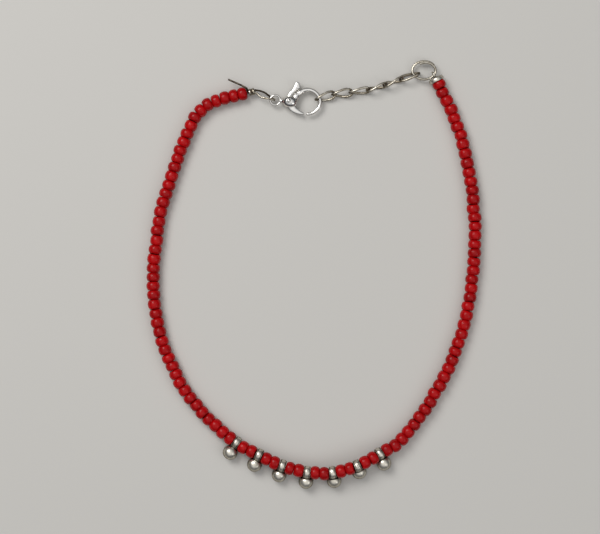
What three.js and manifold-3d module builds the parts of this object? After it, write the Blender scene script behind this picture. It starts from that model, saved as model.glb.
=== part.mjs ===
// Beaded anklet: a string of red glass beads with seven cast drops at the front. One end holds a lobster
// clasp on a wire loop, the other a cup, an open ring and an extender chain that the clasp is hooked into.
// Millimetres, +Z up. It lies on a flat surface at z = 0, with the origin at the centre of its outline there.
import * as THREE from "three";
import { mergeVertices } from "three/addons/utils/BufferGeometryUtils.js";
import Module from "manifold-3d";

const wasm = await Module();
wasm.setup();

// The whole loop, on the string's axis
const loopWidth = 71.96;
const loopLength = 88.2;

// String of beads
const beadDiameter = 3.0;
const beadLength = 2.05;
const beadFaceDiameter = 1.9; // flat end of a bead, where its neighbour touches it
const beadSides = 10;
const threadDiameter = 0.56;
const charmCount = 7;
const beadsBetweenCharms = 2;
const stringSplit = 0.05; // gap where the two fused stretches meet, at the front
const cupRim = 0.2; // wall of the end cup round the last bead
const ballDiameter = 3.28; // of the drops that carry the front

// One bead's outline from face to face
const beadOutline = [
  { along: 0.2, radius: 0.93 },
  { along: 0.5, radius: 1 },
  { along: 0.8, radius: 0.93 },
];

// Route of the string's axis from the crimp to the cup, in shares of half the loop's width and length.
// Lift is its height over a bead that lies on the surface, in shares of a drop's ball: the front is carried
// by the drops. The middle drop hangs at the row marked front.
const stringRoute = [
  { across: -0.4166, along: 0.9177, lift: 0 },
  { across: -0.525, along: 0.8966, lift: 0 },
  { across: -0.6212, along: 0.8737, lift: 0 },
  { across: -0.7187, along: 0.8179, lift: 0 },
  { across: -0.7721, along: 0.7435, lift: 0 },
  { across: -0.8399, along: 0.6086, lift: 0 },
  { across: -0.8944, along: 0.4744, lift: 0 },
  { across: -0.9505, along: 0.3238, lift: 0 },
  { across: -0.9783, along: 0.1567, lift: 0 },
  { across: -1, along: 0.0045, lift: 0 },
  { across: -0.9908, along: -0.1474, lift: 0 },
  { across: -0.9536, along: -0.3045, lift: 0 },
  { across: -0.8944, along: -0.4415, lift: 0 },
  { across: -0.8168, along: -0.5707, lift: 0 },
  { across: -0.7143, along: -0.6796, lift: 0.015 },
  { across: -0.6181, along: -0.7608, lift: 0.046 },
  { across: -0.4794, along: -0.854, lift: 0.122 },
  { across: -0.343, along: -0.9127, lift: 0.305 },
  { across: -0.2037, along: -0.9655, lift: 0.427 },
  { across: -0.0434, along: -1, lift: 0.457, front: true },
  { across: 0.1192, along: -1, lift: 0.549 },
  { across: 0.2685, along: -0.9655, lift: 0.67 },
  { across: 0.4125, along: -0.9045, lift: 0.32 },
  { across: 0.5131, along: -0.8596, lift: 0.137 },
  { across: 0.6212, along: -0.7658, lift: 0.03 },
  { across: 0.764, along: -0.5832, lift: 0 },
  { across: 0.8696, along: -0.4111, lift: 0 },
  { across: 0.9441, along: -0.2236, lift: 0 },
  { across: 0.9814, along: -0.0361, lift: 0 },
  { across: 1, along: 0.1211, lift: 0 },
  { across: 0.9939, along: 0.3036, lift: 0 },
  { across: 0.9717, along: 0.4912, lift: 0 },
  { across: 0.9194, along: 0.676, lift: 0 },
  { across: 0.848, along: 0.8408, lift: 0 },
  { across: 0.7621, along: 0.9796, lift: cupRim / ballDiameter },
];

// Cast drops: a bail ring on the thread and a ball
const bailDiameter = 2.85;
const bailBore = 1.2;
const bailWidth = 1.42;
const bailRounding = 0.2;
const bailPlay = 0.1; // bare thread on each side of a bail
const ballDrop = 2.6; // from the bail's axis to the ball's centre
const bailSides = 12;

// Crimp tube and end wire
const crimpDiameter = 1.55;
const crimpBore = 1.2;
const crimpLength = 1.3;
const crimpGap = 0.45; // from the first bead's face
const endWireDiameter = 0.42;
const strandSpacing = 0.46; // between the two strands inside the crimp
const endLoopWidth = 1.7;
const endWireClearance = 0.14;
const turnDepth = 0.85; // how far into the eye the wire turns, in shares of the rim's radius
const tailLength = 4.5;
const tailAside = 1.0; // from the string's axis where the tail passes the first bead's shoulder
const tailRise = 1.12;
const tailDrop = 0.5;
const tailAngle = 154; // degrees from +X, seen from above

// Lobster clasp, flat on the surface. Its own frame has its origin on the lever's pivot, and its places
// and outlines are in shares of its length.
const claspPivot = { across: -0.1554, along: 0.8762 };
const claspLength = 11.7; // from the eye to the hook's crown
const bulbDiameter = 2.9;
const bulbLength = 3.5;
const bulbCentre = { x: 0.0171, y: -0.0128 };
const neckDiameter = 1.0;
const eyeDiameter = 2.7;
const eyeWireDiameter = 0.5;
const eyeCentre = { x: -0.2632, y: 0.0231 };
const hookTipDiameter = 0.66;
const hookWireDiameter = 0.84; // at the crown of the hook
const hookRootDiameter = 2.1;
const leverThickness = 1.0;
const leverHubDiameter = 1.8;
const leverClearance = 0.18;
const leverOpening = 28; // degrees that the gate turns
const rivetDiameter = 0.7;
const rivetClearance = 0.1;

// Centre line of the hook, from inside the bulb to its tip; thick is a share from the tip's diameter (0)
// over the crown's (1) to the root's (2)
const hookLine = [
  { x: 0.073, y: -0.03, thick: 2 },
  { x: 0.124, y: 0.077, thick: 1.6 },
  { x: 0.192, y: 0.156, thick: 1.3 },
  { x: 0.278, y: 0.205, thick: 1.1 },
  { x: 0.382, y: 0.22, thick: 1 },
  { x: 0.491, y: 0.178, thick: 0.9 },
  { x: 0.564, y: 0.096, thick: 0.75 },
  { x: 0.597, y: 0, thick: 0.6 },
  { x: 0.579, y: -0.098, thick: 0.5 },
  { x: 0.515, y: -0.178, thick: 0.35 },
  { x: 0.432, y: -0.231, thick: 0.2 },
  { x: 0.332, y: -0.249, thick: 0 },
];

// Outline of the lever's two arms: the thumb tab, then the gate
const thumbOutline = [
  [0.038, 0.064], [0.073, 0.145], [0.145, 0.218], [0.207, 0.255], [0.205, 0.33], [0.186, 0.359],
  [0.156, 0.368], [0.128, 0.357], [0.112, 0.33], [0.073, 0.235], [-0.009, 0.145], [-0.043, 0.026],
];
const gateOutline = [
  [-0.034, -0.043], [0.013, -0.158], [0.103, -0.222], [0.248, -0.258], [0.291, -0.239],
  [0.252, -0.209], [0.137, -0.124], [0.068, -0.03],
];

// Extender chain of twisted links. Its route runs from a point in the clasp's hook, in shares of the
// clasp's length, to one in the ring, in shares of half the ring's sizes.
const linkCount = 6;
// Degrees that each link's plane is rolled at its two ends
const linkRolls = [[90, 5], [95, 5], [95, 40], [130, 50], [140, 50], [140, 105]];
const linkWidth = 2.5;
const linkWireDiameter = 0.5;
const linkSlack = 0.15;
const hookHang = [
  { x: 0.5068, y: 0.0308, rise: 0 },
  { x: 0.688, y: 0.1051, rise: -0.06 },
];
const chainRoute = [
  { across: 0.1801, along: 0.9188, rise: 0.46 },
  { across: 0.2982, along: 0.927, rise: 0.5 },
  { across: 0.3974, along: 0.9472, rise: 0.52 },
  { across: 0.5094, along: 0.98, rise: 0.5 },
];
const ringHang = [
  { x: -1.2, y: -0.6, rise: 0.46 },
  { x: -0.4, y: -0.31, rise: 0.5 },
];

// Open ring with overlapping ends, and the cup at the last bead with its eyelet
const ringLength = 5.76;
const ringWidth = 4.56;
const ringWireDiameter = 0.5;
const ringTurns = 1.236;
const ringStart = 118; // where its inner end lies, in degrees from +X; it turns clockwise from there
const ringEndStep = 0.62; // height between the two ends where they lie over each other
const ringEyeletAngle = -34; // where the eyelet holds the ring, in degrees from +X
const ringDip = 0.55; // how much lower the ring lies where it holds the chain
const cupLength = 1.0;
const cupClearance = 0.15;
const cupOverlap = 0.2; // how far the rim reaches over the bead's face
const cupChamfer = 0.25;
const eyeletDiameter = 1.8;
const eyeletWireDiameter = 0.44;

const wireSides = 6;
const hookSides = 10;
const up = new THREE.Vector3(0, 0, 1);
const beadRadius = beadDiameter / 2;
const faceRadius = beadFaceDiameter / 2;

const finishes = {
  redGlass: { color: 0x8f0c12, roughness: 0.28, metalness: 0 },
  antiqueSilver: { color: 0xa39a8c, roughness: 0.42, metalness: 1 },
  brightPlating: { color: 0xd9d7d4, roughness: 0.14, metalness: 1 },
  tarnishedSteel: { color: 0x7d7263, roughness: 0.38, metalness: 1 },
};

const anklet = new THREE.Group();

// A named mesh of one finish, added to a group
function piece(name, geometry, finish, parent = anklet) {
  const mesh = new THREE.Mesh(geometry, new THREE.MeshStandardMaterial(finishes[finish]));
  mesh.name = name;
  parent.add(mesh);
  return mesh;
}

// A geometry as a manifold-3d solid, for joins and cuts
function solidOf(geometry) {
  const bare = geometry.clone();
  bare.deleteAttribute("normal");
  bare.deleteAttribute("uv");
  const merged = mergeVertices(bare, 1e-4);
  const vertProperties = merged.getAttribute("position").array;
  const triVerts = new Uint32Array(merged.index.array);
  return new wasm.Manifold(new wasm.Mesh({ numProp: 3, vertProperties, triVerts }));
}

// A manifold-3d solid as a geometry
function geometryOf(solid) {
  const { vertProperties, triVerts } = solid.getMesh();
  const geometry = new THREE.BufferGeometry();
  geometry.setAttribute("position", new THREE.BufferAttribute(vertProperties, 3));
  geometry.setIndex(new THREE.BufferAttribute(triVerts, 1));
  return geometry;
}

// Point, direction, outward side and top of a level curve at a distance along it
function frameAt(curve, distance) {
  const share = THREE.MathUtils.clamp(distance / curve.getLength(), 0, 1);
  const point = curve.getPointAt(share);
  const along = curve.getTangentAt(share);
  const side = along.clone().cross(up).normalize();
  const top = side.clone().cross(along);
  return { point, along, side, top };
}

// A turned solid whose axis is bent along a curve; rows hold the distance along it and the radius there
function bentLathe(curve, rows, sides) {
  const outline = rows.map(({ at, radius }) => new THREE.Vector2(radius, at));
  const geometry = new THREE.LatheGeometry(outline, sides);
  const position = geometry.getAttribute("position");
  for (let i = 0; i < position.count; i++) {
    const { point, side, top } = frameAt(curve, position.getY(i));
    point.addScaledVector(side, position.getX(i)).addScaledVector(top, position.getZ(i));
    position.setXYZ(i, point.x, point.y, point.z);
  }
  return geometry;
}

// A closed wire along a closed curve; axisAt gives the direction square to the loop at a share of it
function bentTorus(curve, wireDiameter, steps, axisAt) {
  const geometry = new THREE.TorusGeometry(1, wireDiameter / 2, wireSides, steps);
  const position = geometry.getAttribute("position");
  const uv = geometry.getAttribute("uv");
  for (let i = 0; i < position.count; i++) {
    const share = uv.getX(i) % 1;
    const turn = uv.getY(i) * 2 * Math.PI;
    const point = curve.getPointAt(share);
    const along = curve.getTangentAt(share);
    const out = along.clone().cross(axisAt(share)).normalize();
    const axis = out.clone().cross(along);
    point.addScaledVector(out, Math.cos(turn) * wireDiameter / 2);
    point.addScaledVector(axis, Math.sin(turn) * wireDiameter / 2);
    position.setXYZ(i, point.x, point.y, point.z);
  }
  return geometry;
}

// An open round wire along a curve
function wireAlong(curve, wireDiameter, steps) {
  const section = new THREE.Shape().absarc(0, 0, wireDiameter / 2, 0, 2 * Math.PI);
  return new THREE.ExtrudeGeometry(section, {
    steps,
    curveSegments: wireSides / 2,
    bevelEnabled: false,
    extrudePath: curve,
  });
}

// A plate from an outline, centred on z = 0
function plate(shape, thickness) {
  const options = { depth: thickness, bevelEnabled: false, curveSegments: 6 };
  return new THREE.ExtrudeGeometry(shape, options).translate(0, 0, -thickness / 2);
}

// A smooth curve through points, measured finely enough to place beads by their distance along it
function smoothCurve(points) {
  const curve = new THREE.CatmullRomCurve3(points);
  curve.arcLengthDivisions = 100 * points.length;
  return curve;
}

// Distance along a curve to one of the points it was made through
function distanceTo(curve, index) {
  const lengths = curve.getLengths();
  return lengths[Math.round((index / (curve.points.length - 1)) * (lengths.length - 1))];
}

// A place in the loop, given in shares of half its width and length
function inLoop({ across, along }, height) {
  return new THREE.Vector3((across * loopWidth) / 2, (along * loopLength) / 2, height);
}

const stringCurve = smoothCurve(
  stringRoute.map((row) => inLoop(row, beadRadius + row.lift * ballDiameter)),
);

// Beads in order along the string, each with its ends, and the places of the bails between them
function layOutString() {
  const bailSpace = bailWidth + 2 * bailPlay;
  const charmPitch = beadsBetweenCharms * beadLength + bailSpace;
  const front = distanceTo(stringCurve, stringRoute.findIndex((row) => row.front));
  const first = front - ((charmCount - 1) / 2) * charmPitch;
  const bails = Array.from({ length: charmCount }, (_, i) => first + i * charmPitch);
  const beads = [];
  const stretches = [0, ...bails].map((start, i) => ({
    from: i === 0 ? 0 : start + bailSpace / 2,
    to: i < charmCount ? bails[i] - bailSpace / 2 : stringCurve.getLength(),
  }));
  for (const { from, to } of stretches) {
    const count = Math.round((to - from) / beadLength);
    const length = (to - from) / count;
    for (let i = 0; i < count; i++) beads.push({ from: from + i * length, to: from + (i + 1) * length });
  }
  return { beads, bails };
}

// Outline of a fused stretch: beads that touch, or bare thread where a bail hangs
function stretchRows(beads) {
  const touching = beadLength / 100;
  const rows = [{ at: beads[0].from, radius: 0 }, { at: beads[0].from, radius: faceRadius }];
  beads.forEach(({ from, to }, i) => {
    const last = i > 0 ? beads[i - 1].to : from;
    if (from - last > touching) {
      rows.push({ at: last, radius: threadDiameter / 2 }, { at: from, radius: threadDiameter / 2 });
      rows.push({ at: from, radius: faceRadius });
    }
    for (const { along, radius } of beadOutline) {
      rows.push({ at: from + along * (to - from), radius: radius * beadRadius });
    }
    rows.push({ at: to, radius: faceRadius });
  });
  rows.push({ at: beads[beads.length - 1].to, radius: 0 });
  return rows;
}

const { beads, bails } = layOutString();

function buildString() {
  const middle = bails[(charmCount - 1) / 2];
  const split = beads.findIndex(({ from }) => from > middle) + Math.ceil(beadsBetweenCharms / 2);
  const left = beads.slice(0, split);
  const right = beads.slice(split);
  right[0] = { from: right[0].from + stringSplit, to: right[0].to };
  piece("beads_left", bentLathe(stringCurve, stretchRows(left), beadSides), "redGlass");
  piece("beads_right", bentLathe(stringCurve, stretchRows(right), beadSides), "redGlass");
}

// One drop: the bail's axis is Y, and the ball lies along +X
function dropGeometry() {
  const outer = bailDiameter / 2;
  const half = bailWidth / 2;
  const outline = [
    [bailBore / 2, -half],
    [outer - bailRounding, -half],
    [outer, bailRounding - half],
    [outer, half - bailRounding],
    [outer - bailRounding, half],
    [bailBore / 2, half],
    [bailBore / 2, -half],
  ].map(([radius, along]) => new THREE.Vector2(radius, along));
  const bail = new THREE.LatheGeometry(outline, bailSides);
  const ball = new THREE.SphereGeometry(ballDiameter / 2, bailSides, 8).translate(ballDrop, 0, 0);
  return geometryOf(solidOf(bail).add(solidOf(ball)));
}

// Drops lean outwards until their balls lie on the surface
function buildCharms() {
  bails.forEach((distance, i) => {
    const { point, along, side, top } = frameAt(stringCurve, distance);
    const sine = THREE.MathUtils.clamp((point.z - ballDiameter / 2) / (ballDrop * top.z), -1, 1);
    const lean = Math.asin(sine);
    const down = side.clone().multiplyScalar(Math.cos(lean)).addScaledVector(top, -Math.sin(lean));
    const drop = piece("charm_" + (i + 1), dropGeometry(), "antiqueSilver");
    const turn = new THREE.Matrix4().makeBasis(down, along, down.clone().cross(along));
    drop.quaternion.setFromRotationMatrix(turn);
    drop.position.copy(point);
  });
}

const claspMiddle = bulbDiameter / 2;

// A place on the clasp's middle plane, given in shares of its length
function inClasp({ x, y }) {
  return new THREE.Vector3(x * claspLength, y * claspLength, 0);
}

const pivotPlace = inLoop(claspPivot, claspMiddle);
const eyePlace = inClasp(eyeCentre).add(pivotPlace);
const eyeRimRadius = (eyeDiameter - eyeWireDiameter) / 2;

function buildCrimpAndWire() {
  const start = frameAt(stringCurve, 0);
  const away = start.along.clone().negate();
  const across = up.clone().cross(away);
  const from = (along, sideways, rise) => {
    const place = start.point.clone().addScaledVector(away, along);
    return place.addScaledVector(across, sideways).addScaledVector(up, rise);
  };

  const half = crimpLength / 2;
  const tube = [
    [crimpBore / 2, -half], [crimpDiameter / 2, -half], [crimpDiameter / 2, half],
    [crimpBore / 2, half], [crimpBore / 2, -half],
  ].map(([radius, along]) => new THREE.Vector2(radius, along));
  const crimp = piece("crimp_tube", new THREE.LatheGeometry(tube, 12), "tarnishedSteel");
  crimp.position.copy(from(crimpGap + half, 0, 0));
  crimp.quaternion.setFromUnitVectors(new THREE.Vector3(0, 1, 0), away);

  const far = from(crimpGap + crimpLength, 0, 0);
  const toEye = eyePlace.clone().sub(far).setZ(0).normalize();
  const beside = up.clone().cross(toEye);
  const rim = eyePlace.clone().addScaledVector(toEye, -eyeRimRadius);
  const hop = eyeWireDiameter / 2 + endWireDiameter / 2 + endWireClearance;
  const halfway = far.clone().lerp(rim, 0.5);
  const near = (place, sideways, rise) =>
    place.clone().addScaledVector(beside, sideways).addScaledVector(up, rise);
  const strand = strandSpacing / 2;
  const bow = endLoopWidth / 2 - endWireDiameter / 2;
  const tailWay = THREE.MathUtils.degToRad(tailAngle);
  const tailStart = from(crimpGap * 0.3, tailAside, tailRise);
  const tailEnd = tailStart.clone().add(
    new THREE.Vector3(tailLength * Math.cos(tailWay), tailLength * Math.sin(tailWay), -tailDrop),
  );
  const route = [
    from(crimpGap, -strand, 0),
    from(crimpGap + crimpLength, -strand, 0),
    near(halfway, -bow, hop / 2),
    near(rim, -strand, hop),
    near(rim.clone().addScaledVector(toEye, eyeRimRadius * turnDepth), 0, 0),
    near(rim, strand, -hop),
    near(halfway, bow, -hop / 2),
    from(crimpGap + crimpLength, strand, 0),
    from(crimpGap * 0.8, strand, 0),
    from(crimpGap * 0.48, strand + endWireDiameter, tailRise / 2),
    tailStart,
    tailEnd,
  ];
  const curve = new THREE.CatmullRomCurve3(route, false, "centripetal");
  piece("end_wire", wireAlong(curve, endWireDiameter, 56), "tarnishedSteel");
}

// Angles, in degrees from +X, that an arm of the lever takes up between two distances from its pivot as it
// opens, with its clearance
function armFan(outline, near, far) {
  const angles = [];
  outline.forEach((corner, i) => {
    const start = new THREE.Vector2(...corner).multiplyScalar(claspLength);
    const end = new THREE.Vector2(...outline[(i + 1) % outline.length]).multiplyScalar(claspLength);
    for (let k = 0; k < 24; k++) {
      const point = start.clone().lerp(end, k / 24);
      const distance = point.length();
      if (distance < near || distance > far) continue;
      const play = THREE.MathUtils.radToDeg(leverClearance / distance);
      const angle = THREE.MathUtils.radToDeg(Math.atan2(point.y, point.x));
      angles.push(angle - play, angle + play);
    }
  });
  return { from: Math.min(...angles), to: Math.max(...angles) + leverOpening };
}

// Fan-shaped slot that the lever turns in: open to the tab and to the gate, closed at neck and hook
function slotShape() {
  const hub = leverHubDiameter / 2 + leverClearance;
  const reach = bulbLength / 2 + hub / 2;
  const halfway = (leverHubDiameter / 2 + reach) / 2;
  const fans = [thumbOutline, gateOutline].map((outline) => ({
    inner: armFan(outline, leverHubDiameter / 2, halfway),
    outer: armFan(outline, halfway, reach),
  }));
  const shape = new THREE.Shape();
  const corner = (degrees, radius) => {
    const angle = THREE.MathUtils.degToRad(degrees);
    return new THREE.Vector2(radius * Math.cos(angle), radius * Math.sin(angle));
  };
  const points = [];
  for (let i = 0; i < 2; i++) {
    const fan = fans[i];
    const next = fans[1 - i];
    const wrap = i === 0 ? 360 : 0;
    const { from, to } = fan.outer;
    const [start, end] = [fan.inner.to, next.inner.from + wrap];
    for (let k = 0; k <= 4; k++) points.push(corner(THREE.MathUtils.lerp(from, to, k / 4), reach));
    for (let k = 0; k <= 4; k++) points.push(corner(THREE.MathUtils.lerp(start, end, k / 4), hub));
  }
  return shape.setFromPoints(points);
}

function buildClasp() {
  const clasp = new THREE.Group();
  clasp.position.copy(pivotPlace);
  anklet.add(clasp);

  const eye = new THREE.TorusGeometry(eyeRimRadius, eyeWireDiameter / 2, wireSides, 16);
  const eyeMiddle = inClasp(eyeCentre);
  eye.translate(eyeMiddle.x, eyeMiddle.y, 0);

  const toBulb = inClasp(bulbCentre).sub(eyeMiddle);
  const neckStart = eyeDiameter / 2 - eyeWireDiameter;
  const bulbStart = toBulb.length() - bulbLength / 2;
  const rows = [[0, neckStart + 0.1], [neckDiameter / 2, neckStart + 0.1], [neckDiameter / 2, bulbStart]];
  for (let k = 2; k <= 8; k++) {
    const angle = (k / 8) * Math.PI;
    rows.push([bulbDiameter / 2 * Math.sin(angle), toBulb.length() - bulbLength / 2 * Math.cos(angle)]);
  }
  const bulb = new THREE.LatheGeometry(rows.map(([radius, at]) => new THREE.Vector2(radius, at)), 14);
  bulb.applyQuaternion(
    new THREE.Quaternion().setFromUnitVectors(new THREE.Vector3(0, 1, 0), toBulb.normalize()),
  );
  bulb.translate(eyeMiddle.x, eyeMiddle.y, 0);

  const hookCurve = smoothCurve(hookLine.map(inClasp));
  const hookRows = hookLine.map(({ thick }, i) => ({
    at: distanceTo(hookCurve, i),
    radius: thick > 1
      ? THREE.MathUtils.lerp(hookWireDiameter, hookRootDiameter, thick - 1) / 2
      : THREE.MathUtils.lerp(hookTipDiameter, hookWireDiameter, thick) / 2,
  }));
  const hookEnds = [{ at: 0, radius: 0 }, { at: hookCurve.getLength(), radius: 0 }];
  const hook = bentLathe(hookCurve, [hookEnds[0], ...hookRows, hookEnds[1]], hookSides);

  const slot = plate(slotShape(), leverThickness + 2 * leverClearance);
  const hole = new THREE.CylinderGeometry(
    rivetDiameter / 2 + rivetClearance, rivetDiameter / 2 + rivetClearance, 2 * bulbDiameter, 12,
  ).rotateX(Math.PI / 2);
  const casting = solidOf(bulb).add(solidOf(hook)).add(solidOf(eye));
  const body = casting.subtract(solidOf(slot)).subtract(solidOf(hole));
  piece("clasp_body", geometryOf(body), "brightPlating", clasp);

  const hub = new THREE.CylinderGeometry(
    leverHubDiameter / 2, leverHubDiameter / 2, leverThickness, 14,
  ).rotateX(Math.PI / 2);
  const arms = [thumbOutline, gateOutline].map((outline) => {
    const corners = outline.map(([x, y]) => new THREE.Vector2(x, y).multiplyScalar(claspLength));
    return solidOf(plate(new THREE.Shape(corners), leverThickness));
  });
  const lever = solidOf(hub).add(arms[0]).add(arms[1]).subtract(solidOf(hole));
  piece("clasp_lever", geometryOf(lever), "brightPlating", clasp);

  const rivet = new THREE.CylinderGeometry(rivetDiameter / 2, rivetDiameter / 2, bulbDiameter - 0.12, 12);
  piece("clasp_rivet", rivet.rotateX(Math.PI / 2), "brightPlating", clasp);
}

// Centre line of a link in its own frame: an oval along X whose plane rolls from one end to the other
function linkCurve(length, startRoll, endRoll) {
  const reach = (length - linkWireDiameter) / 2;
  const breadth = (linkWidth - linkWireDiameter) / 2;
  const points = [];
  for (let k = 0; k < 16; k++) {
    const angle = (k / 16) * 2 * Math.PI;
    const along = Math.sign(Math.cos(angle)) * Math.abs(Math.cos(angle)) ** 0.85;
    const across = Math.sign(Math.sin(angle)) * Math.abs(Math.sin(angle)) ** 0.85 * breadth;
    const roll = THREE.MathUtils.degToRad(THREE.MathUtils.lerp(startRoll, endRoll, (along + 1) / 2));
    points.push(new THREE.Vector3(along * reach, across * Math.cos(roll), across * Math.sin(roll)));
  }
  return new THREE.CatmullRomCurve3(points, true);
}

function buildChain() {
  const route = smoothCurve([
    ...hookHang.map((row) => inClasp(row).add(pivotPlace).addScaledVector(up, row.rise * linkWidth)),
    ...chainRoute.map((row) => inLoop(row, row.rise * linkWidth)),
    ...ringHang.map(({ x, y, rise }) => new THREE.Vector3(
      ringPlace.x + x * ringReach, ringPlace.y + y * ringBreadth, rise * linkWidth,
    )),
  ]);
  const span = route.getLength() - linkWireDiameter - linkSlack;
  const pitch = span / linkCount;
  const length = pitch + 2 * linkWireDiameter + linkSlack;
  const reach = (length - linkWireDiameter) / 2;
  for (let i = 0; i < linkCount; i++) {
    const centre = reach + i * pitch;
    const start = frameAt(route, centre - reach).point;
    const end = frameAt(route, centre + reach).point;
    const [startRoll, endRoll] = linkRolls[Math.min(i, linkRolls.length - 1)];
    const curve = linkCurve(length, startRoll, endRoll);
    const axisAt = (share) => {
      const along = (curve.getPointAt(share).x / reach + 1) / 2;
      const roll = THREE.MathUtils.degToRad(THREE.MathUtils.lerp(startRoll, endRoll, along));
      return new THREE.Vector3(0, -Math.sin(roll), Math.cos(roll));
    };
    const wire = bentTorus(curve, linkWireDiameter, 16, axisAt);
    const link = piece("chain_link_" + (i + 1), wire, "tarnishedSteel");
    const along = end.clone().sub(start).normalize();
    const side = up.clone().cross(along).normalize();
    const turn = new THREE.Matrix4().makeBasis(along, side, along.clone().cross(side));
    link.quaternion.setFromRotationMatrix(turn);
    link.position.copy(start.add(end).multiplyScalar(0.5));
  }
}

// The ring passes through the eyelet on the cup's back
const cupFrame = frameAt(stringCurve, stringCurve.getLength());
const cupBack = cupLength - cupOverlap;
const eyeletRadius = (eyeletDiameter - eyeletWireDiameter) / 2;
const eyeletDistance = cupBack + eyeletRadius - eyeletWireDiameter / 4;
const ringReach = (ringLength - ringWireDiameter) / 2;
const ringBreadth = (ringWidth - ringWireDiameter) / 2;
const heldAngle = THREE.MathUtils.degToRad(ringEyeletAngle);
const ringPlace = cupFrame.point.clone().addScaledVector(cupFrame.along, eyeletDistance).sub(
  new THREE.Vector3(ringReach * Math.cos(heldAngle), ringBreadth * Math.sin(heldAngle), 0),
);

function buildCup() {
  const outer = beadRadius + cupRim;
  const outline = [
    [0, cupClearance],
    [faceRadius + 0.05, cupClearance],
    [beadRadius, -cupOverlap],
    [outer, -cupOverlap],
    [outer, cupBack - cupChamfer],
    [outer - cupChamfer, cupBack],
    [0, cupBack],
  ].map(([radius, at]) => new THREE.Vector2(radius, at));
  const cup = new THREE.LatheGeometry(outline, 16);
  const eyelet = new THREE.TorusGeometry(eyeletRadius, eyeletWireDiameter / 2, wireSides, 12);
  eyelet.rotateZ(Math.PI / 12).rotateY(Math.PI / 2).translate(0, eyeletDistance, 0);
  const cap = piece("end_cap", geometryOf(solidOf(cup).add(solidOf(eyelet))), "antiqueSilver");
  const { point, side, along, top } = cupFrame;
  cap.quaternion.setFromRotationMatrix(new THREE.Matrix4().makeBasis(side, along, top));
  cap.position.copy(point);
}

function buildRing() {
  const steps = 24;
  const points = [];
  for (let k = 0; k <= steps; k++) {
    const angle = THREE.MathUtils.degToRad(ringStart - (k / steps) * ringTurns * 360);
    const inward = 1 - 0.2 * Math.max(0, 1 - (3 * k) / steps);
    const step = ringEndStep * Math.max(0, 0.6 - (2 * k) / steps);
    const dip = ringDip * (1 - Math.cos(angle - heldAngle)) / 2;
    const out = new THREE.Vector3(ringReach * Math.cos(angle), ringBreadth * Math.sin(angle), 0);
    points.push(out.multiplyScalar(inward).addScaledVector(up, step - dip).add(ringPlace));
  }
  const ring = wireAlong(new THREE.CatmullRomCurve3(points), ringWireDiameter, 28);
  piece("extender_ring", ring, "tarnishedSteel");
}

buildString();
buildCharms();
buildCrimpAndWire();
buildClasp();
buildChain();
buildCup();
buildRing();

const box = new THREE.Box3().setFromObject(anklet, true);
anklet.position.set(-(box.min.x + box.max.x) / 2, -(box.min.y + box.max.y) / 2, -box.min.z);

export default anklet;
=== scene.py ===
"""Beaded anklet with cast drops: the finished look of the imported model.

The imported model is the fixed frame. Each class below builds one sub-assembly over its solids, in
millimetres and in the same frame, and hands its meshes over in metres.
"""
import logging
import math
import random
from bisect import bisect_right
from collections.abc import Callable, Iterable, Sequence
from dataclasses import dataclass, field
from enum import Enum
from typing import Any

import bmesh
import bpy
from mathutils import Matrix, Vector, kdtree, noise


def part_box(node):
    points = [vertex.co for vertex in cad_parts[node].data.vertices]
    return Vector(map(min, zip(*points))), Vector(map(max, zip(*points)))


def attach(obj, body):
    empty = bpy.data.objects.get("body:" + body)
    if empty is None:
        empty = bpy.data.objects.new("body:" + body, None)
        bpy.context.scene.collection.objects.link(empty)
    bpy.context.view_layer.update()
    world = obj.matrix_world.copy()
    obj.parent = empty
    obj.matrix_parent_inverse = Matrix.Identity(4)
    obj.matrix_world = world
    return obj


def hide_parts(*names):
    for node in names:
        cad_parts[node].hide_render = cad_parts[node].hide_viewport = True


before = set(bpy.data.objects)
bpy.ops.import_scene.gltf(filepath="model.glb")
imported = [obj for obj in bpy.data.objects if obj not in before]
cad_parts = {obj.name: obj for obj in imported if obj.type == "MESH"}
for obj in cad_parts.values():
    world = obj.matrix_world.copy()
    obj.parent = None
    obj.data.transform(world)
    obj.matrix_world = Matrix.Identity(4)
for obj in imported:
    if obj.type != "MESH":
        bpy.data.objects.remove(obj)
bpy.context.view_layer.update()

log = logging.getLogger("anklet")

METRE = 0.001  # metres in a millimetre
UP = Vector((0.0, 0.0, 1.0))
SEED = 7
CUT_ROUNDING = 0.3  # of a wire's radius, at its cut ends

Bmesh = bmesh.types.BMesh
Material = bpy.types.Material
Socket = bpy.types.NodeSocket
Pair = tuple[float, float]
Triple = tuple[float, float, float]


def linear(code: str) -> tuple[float, float, float, float]:
    """Turn an sRGB hex colour into the linear colour that a shader takes.

    Args:
        code: the colour as "#RRGGBB".

    Returns:
        Red, green, blue and an alpha of 1.
    """
    parts = [int(code[i:i + 2], 16) / 255 for i in (1, 3, 5)]
    r, g, b = (c / 12.92 if c <= 0.04045 else ((c + 0.055) / 1.055) ** 2.4 for c in parts)
    return (r, g, b, 1.0)


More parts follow.
